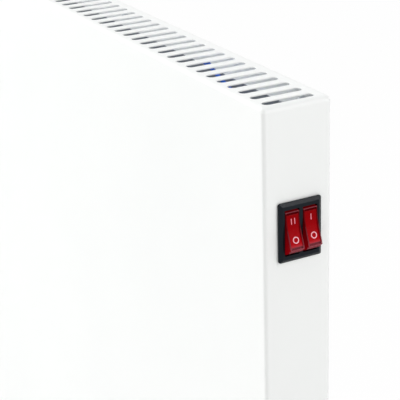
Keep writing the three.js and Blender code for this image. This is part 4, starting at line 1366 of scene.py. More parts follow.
@dataclass
class Rocker:
    """One lit rocker: a hollow face sunk between two ridges and two side walls, over a round skirt.

    Its surface is one grid. Each row is the side view at one place across the rocker: the face and
    its grooves in the middle, the walls' dipped tops near the cheeks, and a steep blend of the two
    between them. At each cheek it is drawn in along its own normals by a quarter circle.
    """

    node: str
    body: str
    joint: str
    legend: Legend
    width: float = 7.8
    sweep: float = 11.55
    tilt: float = 15.0
    face_half: float = 7.9
    face_height: float = 6.2
    face_sag: float = 1.1
    wall: float = 0.5
    wall_dip: float = 0.8
    bevel: float = 1.0
    bevel_round: float = 0.2
    ridge_half: float = 9.0
    ridge_width: float = 0.5
    ridge_height: float = 6.6
    lip_half: float = 9.9
    lip_height: float = 5.6
    skirt_height: float = 4.9
    keel: float = 3.0
    keel_half: float = 9.6
    edge: float = 0.14
    edge_steps: int = 4
    corner_round: float = 0.24
    round_steps: int = 5
    end_run: float = 0.4
    end_steps: int = 14
    face_steps: int = 30
    skirt_steps: int = 14
    skirt_lift: float = 0.1
    rise_counts: float = 0.1
    wall_blend: tuple[Pair, ...] = (
        (0.14, 1.0), (0.07, 0.97), (0.02, 0.88), (0.0, 0.7), (-0.03, 0.08), (-0.09, 0.0)
    )
    fine_start: float = 0.2
    fine_end: float = -1.7
    fine_steps: int = 12
    coarse: Pair = (-0.9, 0.0)
    trunnion: float = 1.2
    trunnion_reach: float = 0.7
    trunnion_root: float = 0.5
    trunnion_steps: int = 24
    mark_height: float = 0.05
    bar_stroke: float = 0.44
    ring_stroke: float = 0.47
    bar_shift: float = 0.28
    ring_shift: float = 0.38
    bar_length: float = 3.0
    bar_gap: float = 0.94
    bar_place: float = 4.62
    bar_end: Pair = (2.0, 0.8)
    ring_place: float = -4.4
    ring_radius: float = 1.43
    zones: Zones = Zones()

    def pivot(self) -> Array:
        """Place of the rocker's joint, in millimetres."""
        found = next(joint for joint in frame["joints"] if joint["name"] == self.joint)
        return np.array(found["pos_m"]) / MM

    def floor_at(self, z: Array) -> Array:
        """Height over the pivot of the floor that the face stands on, an arc about its centre."""
        r = (self.face_half**2 + self.face_sag**2) / (2 * self.face_sag)
        return self.face_height - self.face_sag + r - np.sqrt((r + self.bevel) ** 2 - z**2)

    def face_at(self, z: Array) -> Array:
        """Height of the hollow face over the pivot at a place along the rocker."""
        return self.floor_at(z) + self.bevel

    def stand(self, z: Array) -> Array:
        """Height of the face over its floor: it climbs from its ends and is rounded off on top.

        Args:
            z: places along the rocker.

        Returns:
            The height at each, from nothing to the bevel.
        """
        inward = (self.face_half + self.bevel - np.abs(z)) / self.bevel
        rest = np.maximum(1 + self.bevel_round - inward, 0)
        eased = 1 - rest**2 / (4 * self.bevel_round)
        height = np.where(inward < 1 - self.bevel_round, inward, eased)
        return self.bevel * np.clip(height, 0, 1)

    def wall_at(self, z: Array) -> Array:
        """Height of a side wall's top: dipped from crest to crest, most above the middle."""
        s = np.clip(z / (self.ridge_half + self.ridge_width / 2), -1, 1)
        return self.ridge_height - self.wall_dip * (1 - s) * (1 + s) ** 2 * (1 - s**8)

    def inner_side(self) -> float:
        """Half the width between the two side walls."""
        return self.width / 2 - self.edge - self.wall

    def side_views(self) -> tuple[Array, Array]:
        """Outlines between the side walls and through one, as height over the pivot and place.

        The points of both run together. Those on the wall's top are spread by the length of the
        other outline, in which a rise counts for a tenth.

        Returns:
            The outline between the walls and the one through a wall, points by two.
        """
        ends = np.linspace(self.face_half - self.end_run, self.ridge_half, self.end_steps)
        inside = np.linspace(-ends[0], ends[0], self.face_steps)[1:-1]
        face_z = np.concatenate([-ends[::-1], inside, ends])
        face = stack(self.floor_at(face_z) + self.stand(face_z), face_z)
        top = asin(self.skirt_height / self.sweep)
        drop = acos(self.keel_half / self.sweep) / 2
        swing = np.linspace(top, -drop, self.skirt_steps)
        skirt = self.sweep * stack(np.sin(swing), np.cos(swing))
        corners = [
            (self.floor_at(self.ridge_half), self.ridge_half),
            (self.ridge_height, self.ridge_half),
            (self.ridge_height, self.ridge_half + self.ridge_width),
            (self.lip_height, self.lip_half),
            (self.skirt_height + self.skirt_lift, self.lip_half),
            tuple(skirt[0]),
        ]
        ridge = rounded(corners, self.corner_round, self.round_steps)[1:]
        upper = np.vstack([ridge, skirt[1:], [(-self.keel, self.keel_half)]])
        crest = int(np.argmax(upper[:, 1] > self.ridge_half + self.ridge_width / 2))
        between = np.roll(np.vstack([face, upper, upper[::-1] * (1, -1)]), crest, axis=0)
        through, chain = between.copy(), between[: len(face) + 2 * crest]
        step = np.abs(np.diff(chain, axis=0)) @ (self.rise_counts, 1.0)
        along = np.concatenate([[0], np.cumsum(step)]) / np.sum(step)
        through[: len(chain), 1] = chain[0, 1] + along * (chain[-1, 1] - chain[0, 1])
        through[: len(chain), 0] = self.wall_at(through[: len(chain), 1])
        return between, through

    def drawn_in(self, outline: Array, inset: float) -> Array:
        """Outline moved inwards along the mean of its two neighbouring edges' normals.

        Args:
            outline: closed, points by two.
            inset: how far.

        Returns:
            As many points.
        """
        previous, following = np.roll(outline, 1, axis=0), np.roll(outline, -1, axis=0)
        before, after = outline - previous, following - outline
        before /= np.linalg.norm(before, axis=1, keepdims=True)
        after /= np.linalg.norm(after, axis=1, keepdims=True)
        along = before + after
        along /= np.linalg.norm(along, axis=1, keepdims=True)
        area = np.sum(outline[:, 0] * following[:, 1] - following[:, 0] * outline[:, 1])
        normal = stack(-along[:, 1], along[:, 0]) * np.sign(area)
        return outline + normal * inset

    def tilted(self, points: Array, degrees: float) -> Array:
        """Points turned about the joint: (x cos + z sin, y, z cos - x sin).

        Args:
            points: counted from the pivot.
            degrees: turn.

        Returns:
            As many points.
        """
        angle = radians(degrees)
        x, y, z = np.moveaxis(points, -1, 0)
        rise, run = sin(angle), cos(angle)
        return stack(x * run + z * rise, y, z * run - x * rise)

    def placed(self, points: Array) -> Array:
        """Tilt points to the resting place of a rocker that is on, and move them there."""
        return self.tilted(points, -self.tilt) + self.pivot()

    def unplaced(self, points: Array) -> Array:
        """Undo the tilt and the place: points in the rocker's own height, width and length."""
        return self.tilted(points - self.pivot(), self.tilt)

    def key(self) -> Shell:
        """Body of the rocker with its two trunnions.

        Returns:
            A shell of three closed bodies.
        """
        angle = np.linspace(0, pi / 2, self.edge_steps + 1)
        inner = self.inner_side()
        past, blend = np.array(self.wall_blend).T
        fine = np.linspace(self.fine_start - inner, self.fine_end, self.fine_steps)
        middle = np.concatenate([fine, self.coarse])
        cheek = self.edge * (1 - np.cos(angle)) - self.width / 2
        across = np.concatenate([cheek, -inner - past, middle])
        share = np.concatenate([np.ones(len(angle)), blend, np.zeros(len(middle))])
        level = np.zeros(len(past) + len(middle))
        inset = np.concatenate([self.edge * (1 - np.sin(angle)), level])
        between, through = self.side_views()
        rings = []
        for shrink, part, y in zip(inset, share, across):
            drawn = self.drawn_in(part * through + (1 - part) * between, shrink)
            rings.append(stack(drawn[:, 0], np.full(len(drawn), y), drawn[:, 1]))
        rings += [ring * (1, -1, 1) for ring in rings[-2::-1]]
        shell = Shell().loft(self.placed(np.array(rings)))
        for side in (-1, 1):
            near = side * (self.width / 2 - self.trunnion_root)
            far = side * (self.width / 2 + self.trunnion_reach)
            profile = [(self.trunnion, near), (self.trunnion, far)]
            shell.loft(self.placed(revolved(profile, np.zeros(3), self.trunnion_steps)))
        return shell

    def zones_at(self, height: Array, y: Array, z: Array) -> Array:
        """Thickness, painted highlight and reflection, and the lamp's share off the cheeks.

        The plastic looks thin and bright on the face and on the outer slope of its upper end, and
        thick and dark everywhere else. Pale pink is painted as highlights on the ridges' crests and
        at the face's lower edge, and as reflections on all of the lower end and on the lower half
        of both walls' tops. The lamp shines most through the lower half of the face. All of it is
        the same to the left and to the right.

        Args:
            height: over the pivot.
            y: across the rocker.
            z: along the rocker.

        Returns:
            Points by three.
        """
        zones, inner = self.zones, self.inner_side()
        beside, beyond = np.abs(y), np.abs(z)
        reach, blend = zones.side_blend
        face = np.clip((inner + reach - beside) / blend, 0, 1)
        reach, blend = (self.bevel * value for value in zones.end_blend)
        face *= np.clip((self.face_half + reach - beyond) / blend, 0, 1)
        under, over = zones.face_reach
        face *= (height > self.floor_at(z) + under * self.bevel) & (height < self.face_at(z) + over)
        past, under = zones.wall_reach
        on_wall = (beside > inner + past) & (height > self.wall_at(z) - under)
        on_wall &= beyond < self.ridge_half
        past, under = zones.crest_reach
        crest = (beyond > self.ridge_half - past) & (height > self.ridge_height - under)
        slope = (z > self.ridge_half + self.ridge_width) & ~crest
        slope &= height > self.skirt_height - zones.slope_reach
        foot = (z < -self.face_half) & (height > self.skirt_height - zones.foot_reach)
        low = np.clip(0.5 - z / (2 * self.face_half), 0, 1)
        down = np.clip(-z / self.face_half, 0, 1)
        # Painted reflection on the walls' tops and the lower end, and painted highlights on the
        # crests and the face's lower edge.
        first, more = zones.wall_painted_reflection
        rim = on_wall * (z < zones.wall_painted_reflection_top) * (first + more * down)
        edge = np.clip(-z - self.face_half + zones.edge_reach, 0, 1)
        ends = crest * np.where(z > 0, *zones.crest_painted_highlight)
        heel = zones.foot_painted_reflection * foot * (1 - face)
        painted_shine = np.maximum.reduce([ends, heel, rim, face * zones.edge_painted_highlight * edge])
        first, more = zones.face_glow
        glow = face * (first + more * low**zones.glow_power)
        glow += zones.slope_glow * slope + zones.other_glow * (1 - face) * low
        thin = np.maximum(face, zones.slope_thin * slope)
        return stack(1 - thin, painted_shine, glow)

    def mark_zones(self, piece: Object) -> None:
        """Write the finish's attribute: thickness, painted highlight and reflection, the lamp's
        share.

        The cheeks are flat and have values of their own, so nothing runs onto them: they get a
        little thinner and brighter downwards.

        Args:
            piece: rocker's body at its resting place.
        """
        mesh = piece.data
        mesh.update()
        height, y, z = self.unplaced(read_all(mesh.vertices, "co", 3) / MM).T
        dull = 0.5 - z / (2 * self.sweep)
        thick = 1 - self.zones.cheek_thin * dull**2
        on_cheek = stack(thick, 0 * dull, self.zones.cheek_glow * dull**2)
        normal = read_all(mesh.polygons, "normal", 3)
        centre = self.unplaced(read_all(mesh.polygons, "center", 3) / MM)
        outside = np.abs(centre[:, 1]) > self.width / 2 - self.edge
        cheek = (np.abs(normal[:, 1]) > self.zones.upright) & outside
        flat = np.repeat(cheek, read_all(mesh.polygons, "loop_total", kind=int))
        corner = read_all(mesh.loops, "vertex_index", kind=int)
        at_point = self.zones_at(height, y, z)
        zones = np.where(flat[:, None], on_cheek[corner], at_point[corner])
        layer = mesh.attributes.new("zones", "FLOAT_VECTOR", "CORNER")
        layer.data.foreach_set("vector", zones.astype(np.float32).ravel())

    def slab(self, y: Array, z: Array, wrap: bool) -> Shell:
        """Thin mark that follows the face: its top, its underside just in the face, and its rim.

        Args:
            y: across the rocker, rows by columns.
            z: along the rocker, rows by columns.
            wrap: true where the last column meets the first.

        Returns:
            The mark as one closed body.
        """
        level = self.face_at(z)
        top = self.placed(stack(level + self.mark_height, y, z))
        under = self.placed(stack(level - self.mark_height, y, z))
        shell = Shell().grid(top, wrap=wrap).grid(under, wrap=wrap)
        for row in (0, -1):
            shell.grid(np.array([top[row], under[row]]), wrap=wrap)
        if not wrap:
            for column in (0, -1):
                shell.grid(np.array([top[:, column], under[:, column]]))
        return shell

    def bar(self, middle: float) -> Shell:
        """Upright bar with soft ends, above the middle of the rocker.

        Args:
            middle: its place across, counted from the legend's middle.

        Returns:
            The mark as one closed body.
        """
        along = np.linspace(-1, 1, 13)
        swell, blunt = self.bar_end
        half = self.bar_stroke / 2 * np.minimum(1, swell * np.sqrt(1 - along**2) + blunt)
        share = np.linspace(-1, 1, 5)[:, None]
        y = self.bar_shift + middle + share * half[None, :]
        z = self.bar_place + along[None, :] * self.bar_length / 2 + 0 * share
        return self.slab(y, z, wrap=False)

    def ring(self) -> Shell:
        """Circle below the middle of the rocker.

        Returns:
            The mark as one closed body.
        """
        angle = turns(48)
        share = np.linspace(-1, 1, 4)[:, None]
        radius = self.ring_radius + share * self.ring_stroke / 2
        y = self.ring_shift + radius * np.cos(angle)
        return self.slab(y, self.ring_place + radius * np.sin(angle), wrap=True)

    def build(self) -> None:
        """Make the rocker and its marks, all riding on the rocker's own body."""
        key = self.key().build(f"{self.node}_key")
        self.mark_zones(key)
        settle(key, RED_POLYCARBONATE, "red_polycarbonate", self.node, body=self.body)
        marks = [(self.bar(place * self.bar_gap), THIN_INK) for place in self.legend.value]
        for number, (mark, ink) in enumerate([*marks, (self.ring(), LEGEND_INK)], 1):
            piece = mark.build(f"{self.node}_mark_{number}")
            settle(piece, ink, "red_polycarbonate", body=self.body)


@dataclass
class TwinSwitch:
    """Housing of the twin switch, its four blades and its two rockers."""

    edge: float = 0.16
    edge_steps: int = 3
    sharp: float = 25.0
    blade_edge: float = 0.15
    blades: tuple[str, ...] = ("blade_neutral", "blade_line", "blade_stage_one", "blade_stage_two")
    rockers: tuple[Rocker, ...] = (
        Rocker(
            "rocker_stage_two", "rocker_two", "rocker_two_tilt", Legend.TWO_BARS, ring_place=-4.7
        ),
        Rocker(
            "rocker_stage_one",
            "rocker_one",
            "rocker_one_tilt",
            Legend.ONE_BAR,
            ring_shift=0.52,
            bar_place=4.85,
        ),
    )

    def build(self) -> None:
        """Round the housing's edges, plate the blades and make the rockers."""
        housing = frame["nodes"]["switch_housing"]
        soften(housing, self.edge, self.edge_steps, self.sharp)
        BLACK_POLYAMIDE.dress(housing)
        for blade in self.blades:
            soften(frame["nodes"][blade], self.blade_edge)
            NICKEL.dress(frame["nodes"][blade])
        for rocker in self.rockers:
            rocker.build()


@dataclass
class Route:
    """Smooth line through chosen points, the same centripetal curve that the CAD leads follow."""

    points: Array
    steps: int = 8

    def line(self) -> Array:
        """Points along the route.

        Each stretch is the cubic with the Catmull-Rom tangents whose knots are apart by the square
        root of the distance between the points.

        Returns:
            Places by three.
        """
        p = self.points
        p = np.vstack([2 * p[0] - p[1], p, 2 * p[-1] - p[-2]])
        gap = np.sqrt(np.linalg.norm(np.diff(p, axis=0), axis=1))[:, None]
        p0, p1, p2, p3 = p[:-3], p[1:-2], p[2:-1], p[3:]
        g0, g1, g2 = gap[:-2], gap[1:-1], gap[2:]
        leave = ((p1 - p0) / g0 - (p2 - p0) / (g0 + g1) + (p2 - p1) / g1) * g1
        reach = ((p2 - p1) / g1 - (p3 - p1) / (g1 + g2) + (p3 - p2) / g2) * g1
        t = (np.arange(self.steps) / self.steps)[None, :, None]
        a, b = p1[:, None], p2[:, None]
        m, n = leave[:, None], reach[:, None]
        stretch = (
            (2 * t**3 - 3 * t**2 + 1) * a
            + (t**3 - 2 * t**2 + t) * m
            + (3 * t**2 - 2 * t**3) * b
            + (t**3 - t**2) * n
        )
        return np.vstack([stretch.reshape(-1, 3), self.points[-1:]])

    def tube(self, radius: float, sides: int = 14) -> Array:
        """Rings round the line, each turned as little as can be from the one before.

        Args:
            radius: of the tube.
            sides: points round each ring.

        Returns:
            Rings by sides by three.
        """
        line = self.line()
        ahead = np.gradient(line, axis=0)
        ahead /= np.linalg.norm(ahead, axis=1, keepdims=True)
        # Any direction will do that no route starts along.
        side = np.cross(ahead[0], (0.3, 0.5, 0.81))
        sides_of = np.empty_like(line)
        for i, direction in enumerate(ahead):
            side = side - direction * (side @ direction)
            side = side / np.linalg.norm(side)
            sides_of[i] = side
        other = np.cross(ahead, sides_of)
        angle = turns(sides)[None, :, None]
        round_it = np.cos(angle) * sides_of[:, None] + np.sin(angle) * other[:, None]
        return line[:, None] + radius * round_it


@dataclass
class Boot:
    """Moulded sleeve over a push-on receptacle: from a flat mouth round the blade to a round neck.

    Its sections blend from a rounded rectangle to a circle, and its mouth is hollow. In its shell a
    row is half a width, half a thickness, the section's power and the place along the blade.
    """

    tip: Array
    along: Array
    across: Array
    blade_width: float
    blade_thickness: float = 0.8
    wall: float = 1.0
    reach: float = 7.7
    neck: float = 1.75
    neck_reach: float = 4.0
    steps: int = 32

    def section(self, width: float, thickness: float, square: float) -> Array:
        """Superellipse whose power goes from a circle's two to a soft rectangle's many.

        Args:
            width: half width across the blade.
            thickness: half thickness.
            square: power.

        Returns:
            Steps by two.
        """
        angle = turns(self.steps)
        c, s = np.cos(angle), np.sin(angle)
        wide = width * np.sign(c) * np.abs(c) ** (2 / square)
        return stack(wide, thickness * np.sign(s) * np.abs(s) ** (2 / square))

    def shell(self) -> Shell:
        """The sleeve as rings along the blade, from inside its mouth to its neck.

        Returns:
            A shell of one closed body.
        """
        w, t = self.blade_width / 2 + self.wall, self.blade_thickness / 2 + self.wall
        inside = (self.blade_width / 2 + 0.3, self.blade_thickness / 2 + 0.3, 7.0)
        neck = (self.neck, self.neck, 2.0)
        rows = [
            (*inside, -self.reach + 2.5),
            (*inside, -self.reach + 0.15),
            (w - 0.2, t - 0.2, 6.0, -self.reach),
            (w, t, 6.0, -self.reach + 0.25),
            (w, t, 6.0, -0.6),
            (w * 0.8, t, 4.0, 0.6),
            (w * 0.5, max(t * 0.95, self.neck), 2.6, 1.8),
            (*neck, 2.8),
            (*neck, self.neck_reach - 0.2),
            (self.neck - 0.2, self.neck - 0.2, 2.0, self.neck_reach),
        ]
        thick = np.cross(self.along, self.across)
        rings = []
        for width, thickness, square, place in rows:
            flat = self.section(width, thickness, square)
            middle = self.tip + self.along * place
            rings.append(middle + flat[:, :1] * self.across + flat[:, 1:] * thick)
        return Shell().loft(np.array(rings))


def near(place: Array, *offsets: Triple) -> list[Array]:
    """Points of a route, counted from one place."""
    return [place + offset for offset in offsets]


@dataclass
class Leads:
    """Leads inside the cabinet, from their routes, with a sleeve on each push-on receptacle.

    A route's points are millimetres from the blade's tip, from a corner of the shield or panel or
    from the block, so that it follows them, and they keep the lead clear of what it passes.
    """

    radius: float = 1.1
    sheet: float = 0.8
    shield_sheet: float = 0.6
    seat: float = 0.3
    blade_reach: float = 8.0
    entry_depth: float = 6.0
    tail: float = 0.9
    block_depth: float = 13.0
    cutout_blade: Pair = (5.0, 5.6)
    ring_outer: float = 4.6
    ring_inner: float = 2.3
    ring_thickness: float = 0.8
    ring_edge: float = 0.15
    tongue_width: float = 0.35

    def __post_init__(self) -> None:
        """Work out the places that the routes are counted from, out of the nodes' boxes."""
        low, high = node_box("front_casing")
        shield_low, _ = node_box("heat_shield")
        panel_low, _ = node_box("rear_panel")
        block_low, block_high = node_box("terminal_block")
        self.top_shield = np.array([high[0], shield_low[1], high[2]])
        self.foot_shield = np.array([high[0], shield_low[1], low[2]])
        self.foot_panel = np.array([high[0], panel_low[1], low[2]])
        block = (block_low + block_high) / 2
        self.block_panel = np.array([block[0], panel_low[1], block[2]])
        self.block_front = block_high[1] - self.block_depth / 2
        self.block_top = block_high[2] + self.seat
        self.way_pitch = (block_high[0] - block_low[0]) / 4
        self.under_top = self.sheet + self.radius + self.seat

    def blade_tip(self, node: str) -> Array:
        """Middle of a switch blade's free end."""
        low, high = node_box(node)
        return np.array([low[0], (low[1] + high[1]) / 2, (low[2] + high[2]) / 2])

    def rod_tip(self, stage: str, side: int) -> Array:
        """Middle of the free end of a heating rod's blade."""
        low, high = node_box(f"element_rod_{stage}")
        return np.where([True, False, False], high if side > 0 else low, (low + high) / 2)

    def cutout_tip(self, side: int) -> Array:
        """Middle of the free end of one of the overheat cut-out's blades."""
        low, high = node_box("overheat_cutout")
        return high + (side * self.cutout_blade[0] - (high - low)[0] / 2, -self.cutout_blade[1], 0)

    def entry(self, way: int) -> Array:
        """End of a lead inside the terminal block's way, counted from the left."""
        x = self.block_panel[0] + (way - 1.5) * self.way_pitch
        return np.array([x, self.block_front, self.block_top - self.entry_depth])

    def make(
        self, name: str, node: str, finish: Finish, slot: str, routes: list, boots: list[Boot]
    ) -> None:
        """Make one lead: its sleeves, and its tubes, with a UV map of the turn round if it is
        striped.

        Args:
            name: piece's name.
            node: CAD lead that it stands for.
            finish: its insulation.
            slot: record's material slot.
            routes: lists of points, one for each stretch.
            boots: its sleeves.
        """
        shell = Shell()
        for route in routes:
            shell.loft(Route(np.array(route)).tube(self.radius))
        for boot in boots:
            sleeve = boot.shell()
            first = shell.count
            shell.points.extend(sleeve.points)
            shell.faces.extend([[index + first for index in face] for face in sleeve.faces])
            shell.count += sleeve.count
        piece = shell.build(name)
        if finish.stripe:
            self.unwrap(piece, np.array(routes[0]))
        settle(piece, finish, slot, node)

    def unwrap(self, piece: Object, route: Array) -> None:
        """Write the turn round the lead as the second UV coordinate of each corner.

        The turn is the angle of a corner about the nearest place on the line, in the tube's frame.

        Args:
            piece: lead.
            route: its points.
        """
        rings = Route(route).tube(self.radius)
        sides = rings.shape[1]
        flat = rings.reshape(-1, 3)
        mesh = piece.data
        corner = read_all(mesh.loops, "vertex_index", kind=int)
        place = read_all(mesh.vertices, "co", 3) / MM
        nearest = np.argmin(np.linalg.norm(place[:, None] - flat[None], axis=2), axis=1)
        uv = np.zeros((len(corner), 2))
        uv[:, 1] = ((nearest % sides) / sides)[corner]
        layer = mesh.uv_layers.new(name="lead")
        layer.data.foreach_set("uv", uv.ravel())

    def boot(self, tip: Array, along: Array, across: Array, width: float = 6.3) -> Boot:
        """Sleeve on a blade that ends at a tip and points along an axis."""
        return Boot(tip, along, across, width)

    def neutral(self) -> None:
        """Blue lead from the switch under the slots, over the heat shield and down to the block."""
        tip = self.blade_tip("blade_neutral")
        entry = self.entry(1)
        over = [
            (-44.5, -7.1, -46),
            (-47, -8.5, -30),
            (-48, -8.3, -14),
            (-50.8, -6.5, -6.4),
            (-59.7, -4.9, -5),
            (-68.5, -3.3, -3.9),
            (-77, -1.7, -2.9),
            (-85, 0.3, -self.under_top),
            (-92, 2.1, -self.under_top),
            (-96.6, 4.5, -5.2),
            (-98, 6.1, -14),
            (-98, 8.5, -60),
        ]
        route = [
            tip - ALONG_X * self.tail,
            tip + (-10, -0.7, 1.7),
            *near(self.top_shield, *over),
            *near(self.foot_panel, (-97, -5.3, 300), (-88, -4.3, 240)),
            *near(self.block_panel, (-25, -5.3, 83), (-9, -6.8, 43)),
            entry + ALONG_Z * 2 * self.entry_depth,
            entry,
        ]
        boots = [self.boot(tip, -ALONG_X, ALONG_Y)]
        self.make("neutral_lead", "lead_neutral", BLUE_LEAD, "blue_silicone", [route], boots)

    def stage_one(self) -> None:
        """Brown lead from the switch to the upper element."""
        tip, far = self.blade_tip("blade_stage_one"), self.rod_tip("one", 1)
        route = [
            tip - ALONG_X * self.tail,
            *near(tip, (-9, -2.3, -2.8), (-12.5, -5.9, -12.8)),
            *near(self.top_shield, (-41.5, -11.7, -104), (-42, -11.9, -150)),
            self.foot_shield + (-45, -11.5, 200),
            far + (18.5, -1.05, 11),
            far + ALONG_X * self.tail * self.blade_reach,
            far + ALONG_X * self.tail,
        ]
        boots = [self.boot(tip, -ALONG_X, ALONG_Y), self.boot(far, ALONG_X, ALONG_Z)]
        self.make("stage_one_lead", "lead_stage_one", BROWN_LEAD, "brown_silicone", [route], boots)

    def stage_two(self) -> None:
        """Brown lead from the switch to the lower element."""
        tip, far = self.blade_tip("blade_stage_two"), self.rod_tip("two", 1)
        route = [
            tip - ALONG_X * self.tail,
            *near(tip, (-8.5, -0.9, -1.8), (-14, -5.1, -5.8), (-17.4, -9.9, -12.3)),
            *near(self.top_shield, (-46.4, -5.5, -98), (-47, -5.5, -160)),
            *near(far, (22, 3.55, 60), (19.5, 2.35, 12)),
            far + ALONG_X * self.tail * self.blade_reach,
            far + ALONG_X * self.tail,
        ]
        boots = [self.boot(tip, -ALONG_X, ALONG_Y), self.boot(far, ALONG_X, ALONG_Z)]
        self.make("stage_two_lead", "lead_stage_two", BROWN_LEAD, "brown_silicone", [route], boots)

    def switch_line(self) -> None:
        """Brown lead from the switch to the overheat cut-out."""
        tip, far = self.blade_tip("blade_line"), self.cutout_tip(-1)
        route = [
            tip - ALONG_X * self.tail,
            *near(tip, (-8, -0.1, -0.8), (-15.5, -2.3, -3.8), (-21.5, -6.7, -6.8)),
            tip + (-26, -11.1, -11.8),
            self.top_shield + (-58, -7.9, -80),
            *near(far, (105, -3, 80), (70, -3.6, 52), (25, -3.6, 38), (6, -2.6, 28)),
            far + ALONG_Z * self.tail * self.blade_reach,
            far + ALONG_Z * self.tail,
        ]
        boots = [self.boot(tip, -ALONG_X, ALONG_Y), self.boot(far, ALONG_Z, ALONG_X, 4.8)]
        names = ("switch_line_lead", "lead_switch_line")
        self.make(*names, BROWN_LEAD, "brown_silicone", [route], boots)

    def supply_line(self) -> None:
        """Brown lead from the block up the rear duct and through the grommet to the cut-out."""
        far, entry = self.cutout_tip(1), self.entry(2)
        low, high = node_box("shield_grommet")
        front = np.array([(low[0] + high[0]) / 2, self.top_shield[1], (low[2] + high[2]) / 2])
        back = front + ALONG_Y * self.shield_sheet
        route = [
            entry,
            entry + ALONG_Z * 2 * self.entry_depth,
            self.block_panel + (1, -7.3, 55),
            self.foot_panel + (-53, -7.8, 230),
            *near(back, (9, 9.1, -18), (1.5, 7.9, -4), (0, 4.4, 0)),
            back,
            *near(front, (0, -4.4, 0), (-3.5, -7.9, -2), (-25, -9.1, -10)),
            *near(far, (23, -3.2, 22), (5, -1.8, 19.5)),
            far + ALONG_Z * self.tail * self.blade_reach / 2,
            far + ALONG_Z * self.tail,
        ]
        boots = [self.boot(far, ALONG_Z, ALONG_X, 4.8)]
        names = ("supply_line_lead", "lead_supply_line")
        self.make(*names, BROWN_LEAD, "brown_silicone", [route], boots)

    def neutral_return(self) -> None:
        """Blue link between the left ends of the elements and the return along the foot."""
        upper, lower = self.rod_tip("one", -1), self.rod_tip("two", -1)
        lower_right, entry = self.rod_tip("two", 1), self.entry(0)
        away = -ALONG_X * self.tail
        link = [
            upper + away,
            upper + away * self.blade_reach,
            *near(lower, (-16, 0, 48), (-18, 0, 26), (-14, 0, 6)),
            lower + away * self.blade_reach,
            lower + away,
        ]
        run = [
            lower + away,
            lower + away * self.blade_reach,
            *near(lower, (-14, 0, -6), (-18, 0, -24), (-13, 0, -40), (4, 0, -46), (140, 0, -48)),
            *near(lower_right, (-251, 0, -48), (-120, 0, -48), (-5, 0, -48)),
            *near(self.foot_shield, (-58, -5.9, 43), (-54.5, 0.3, 47), (-56, 5.9, 57)),
            *near(self.block_panel, (-23.5, -8.3, -30), (-24.5, -7.3, 0), (-21.5, -6.9, 17)),
            self.block_panel + (-16.5, -6.8, 23),
            entry + ALONG_Z * self.entry_depth,
            entry,
        ]
        boots = [self.boot(place, -ALONG_X, ALONG_Z) for place in (upper, lower)]
        names = ("neutral_return_lead", "lead_neutral_return")
        self.make(*names, BLUE_LEAD, "blue_silicone", [link, run], boots)

    def earth(self) -> None:
        """Green and yellow lead from the block to the ring under the earth nut."""
        entry = self.entry(3)
        low, high = node_box("earth_nut")
        stud = np.array([(low[0] + high[0]) / 2, self.foot_panel[1], (low[2] + high[2]) / 2])
        start = stud[1] - self.seat - self.ring_thickness
        end = start + self.ring_thickness
        tail = stud + (0, start + self.ring_thickness / 2 - self.radius - stud[1], 0)
        route = [
            entry,
            entry + ALONG_Z * self.entry_depth,
            *near(stud, (8.5, -5.7, -17), (11.6, -3.9, -10), (11.6, -2.3, -3)),
            *near(tail, (2 * self.ring_outer, 0, 0), (self.ring_outer + 2 * self.radius, 0, 0)),
        ]
        self.make("earth_lead", "lead_earth", EARTH_LEAD, "green_silicone", [route], [])
        profile = [
            (self.ring_inner, start),
            (self.ring_outer - self.ring_edge, start),
            (self.ring_outer, start + self.ring_edge),
            (self.ring_outer, end - self.ring_edge),
            (self.ring_outer - self.ring_edge, end),
            (self.ring_inner, end),
            (self.ring_inner, start),
        ]
        shell = Shell().grid(revolved(profile, stud * (1, 0, 1)), wrap=True)
        ends = [tail + (self.ring_outer - 0.6, 0.6, 0), tail + (2 * self.ring_outer, 0, 0)]
        shell.loft(Route(np.array(ends), 6).tube(self.radius + self.tongue_width, 18))
        settle(shell.build("earth_ring_terminal"), NICKEL, "nickel_brass")

    def build(self) -> None:
        """Make all leads."""
        self.neutral()
        self.stage_one()
        self.stage_two()
        self.switch_line()
        self.supply_line()
        self.neutral_return()
        self.earth()


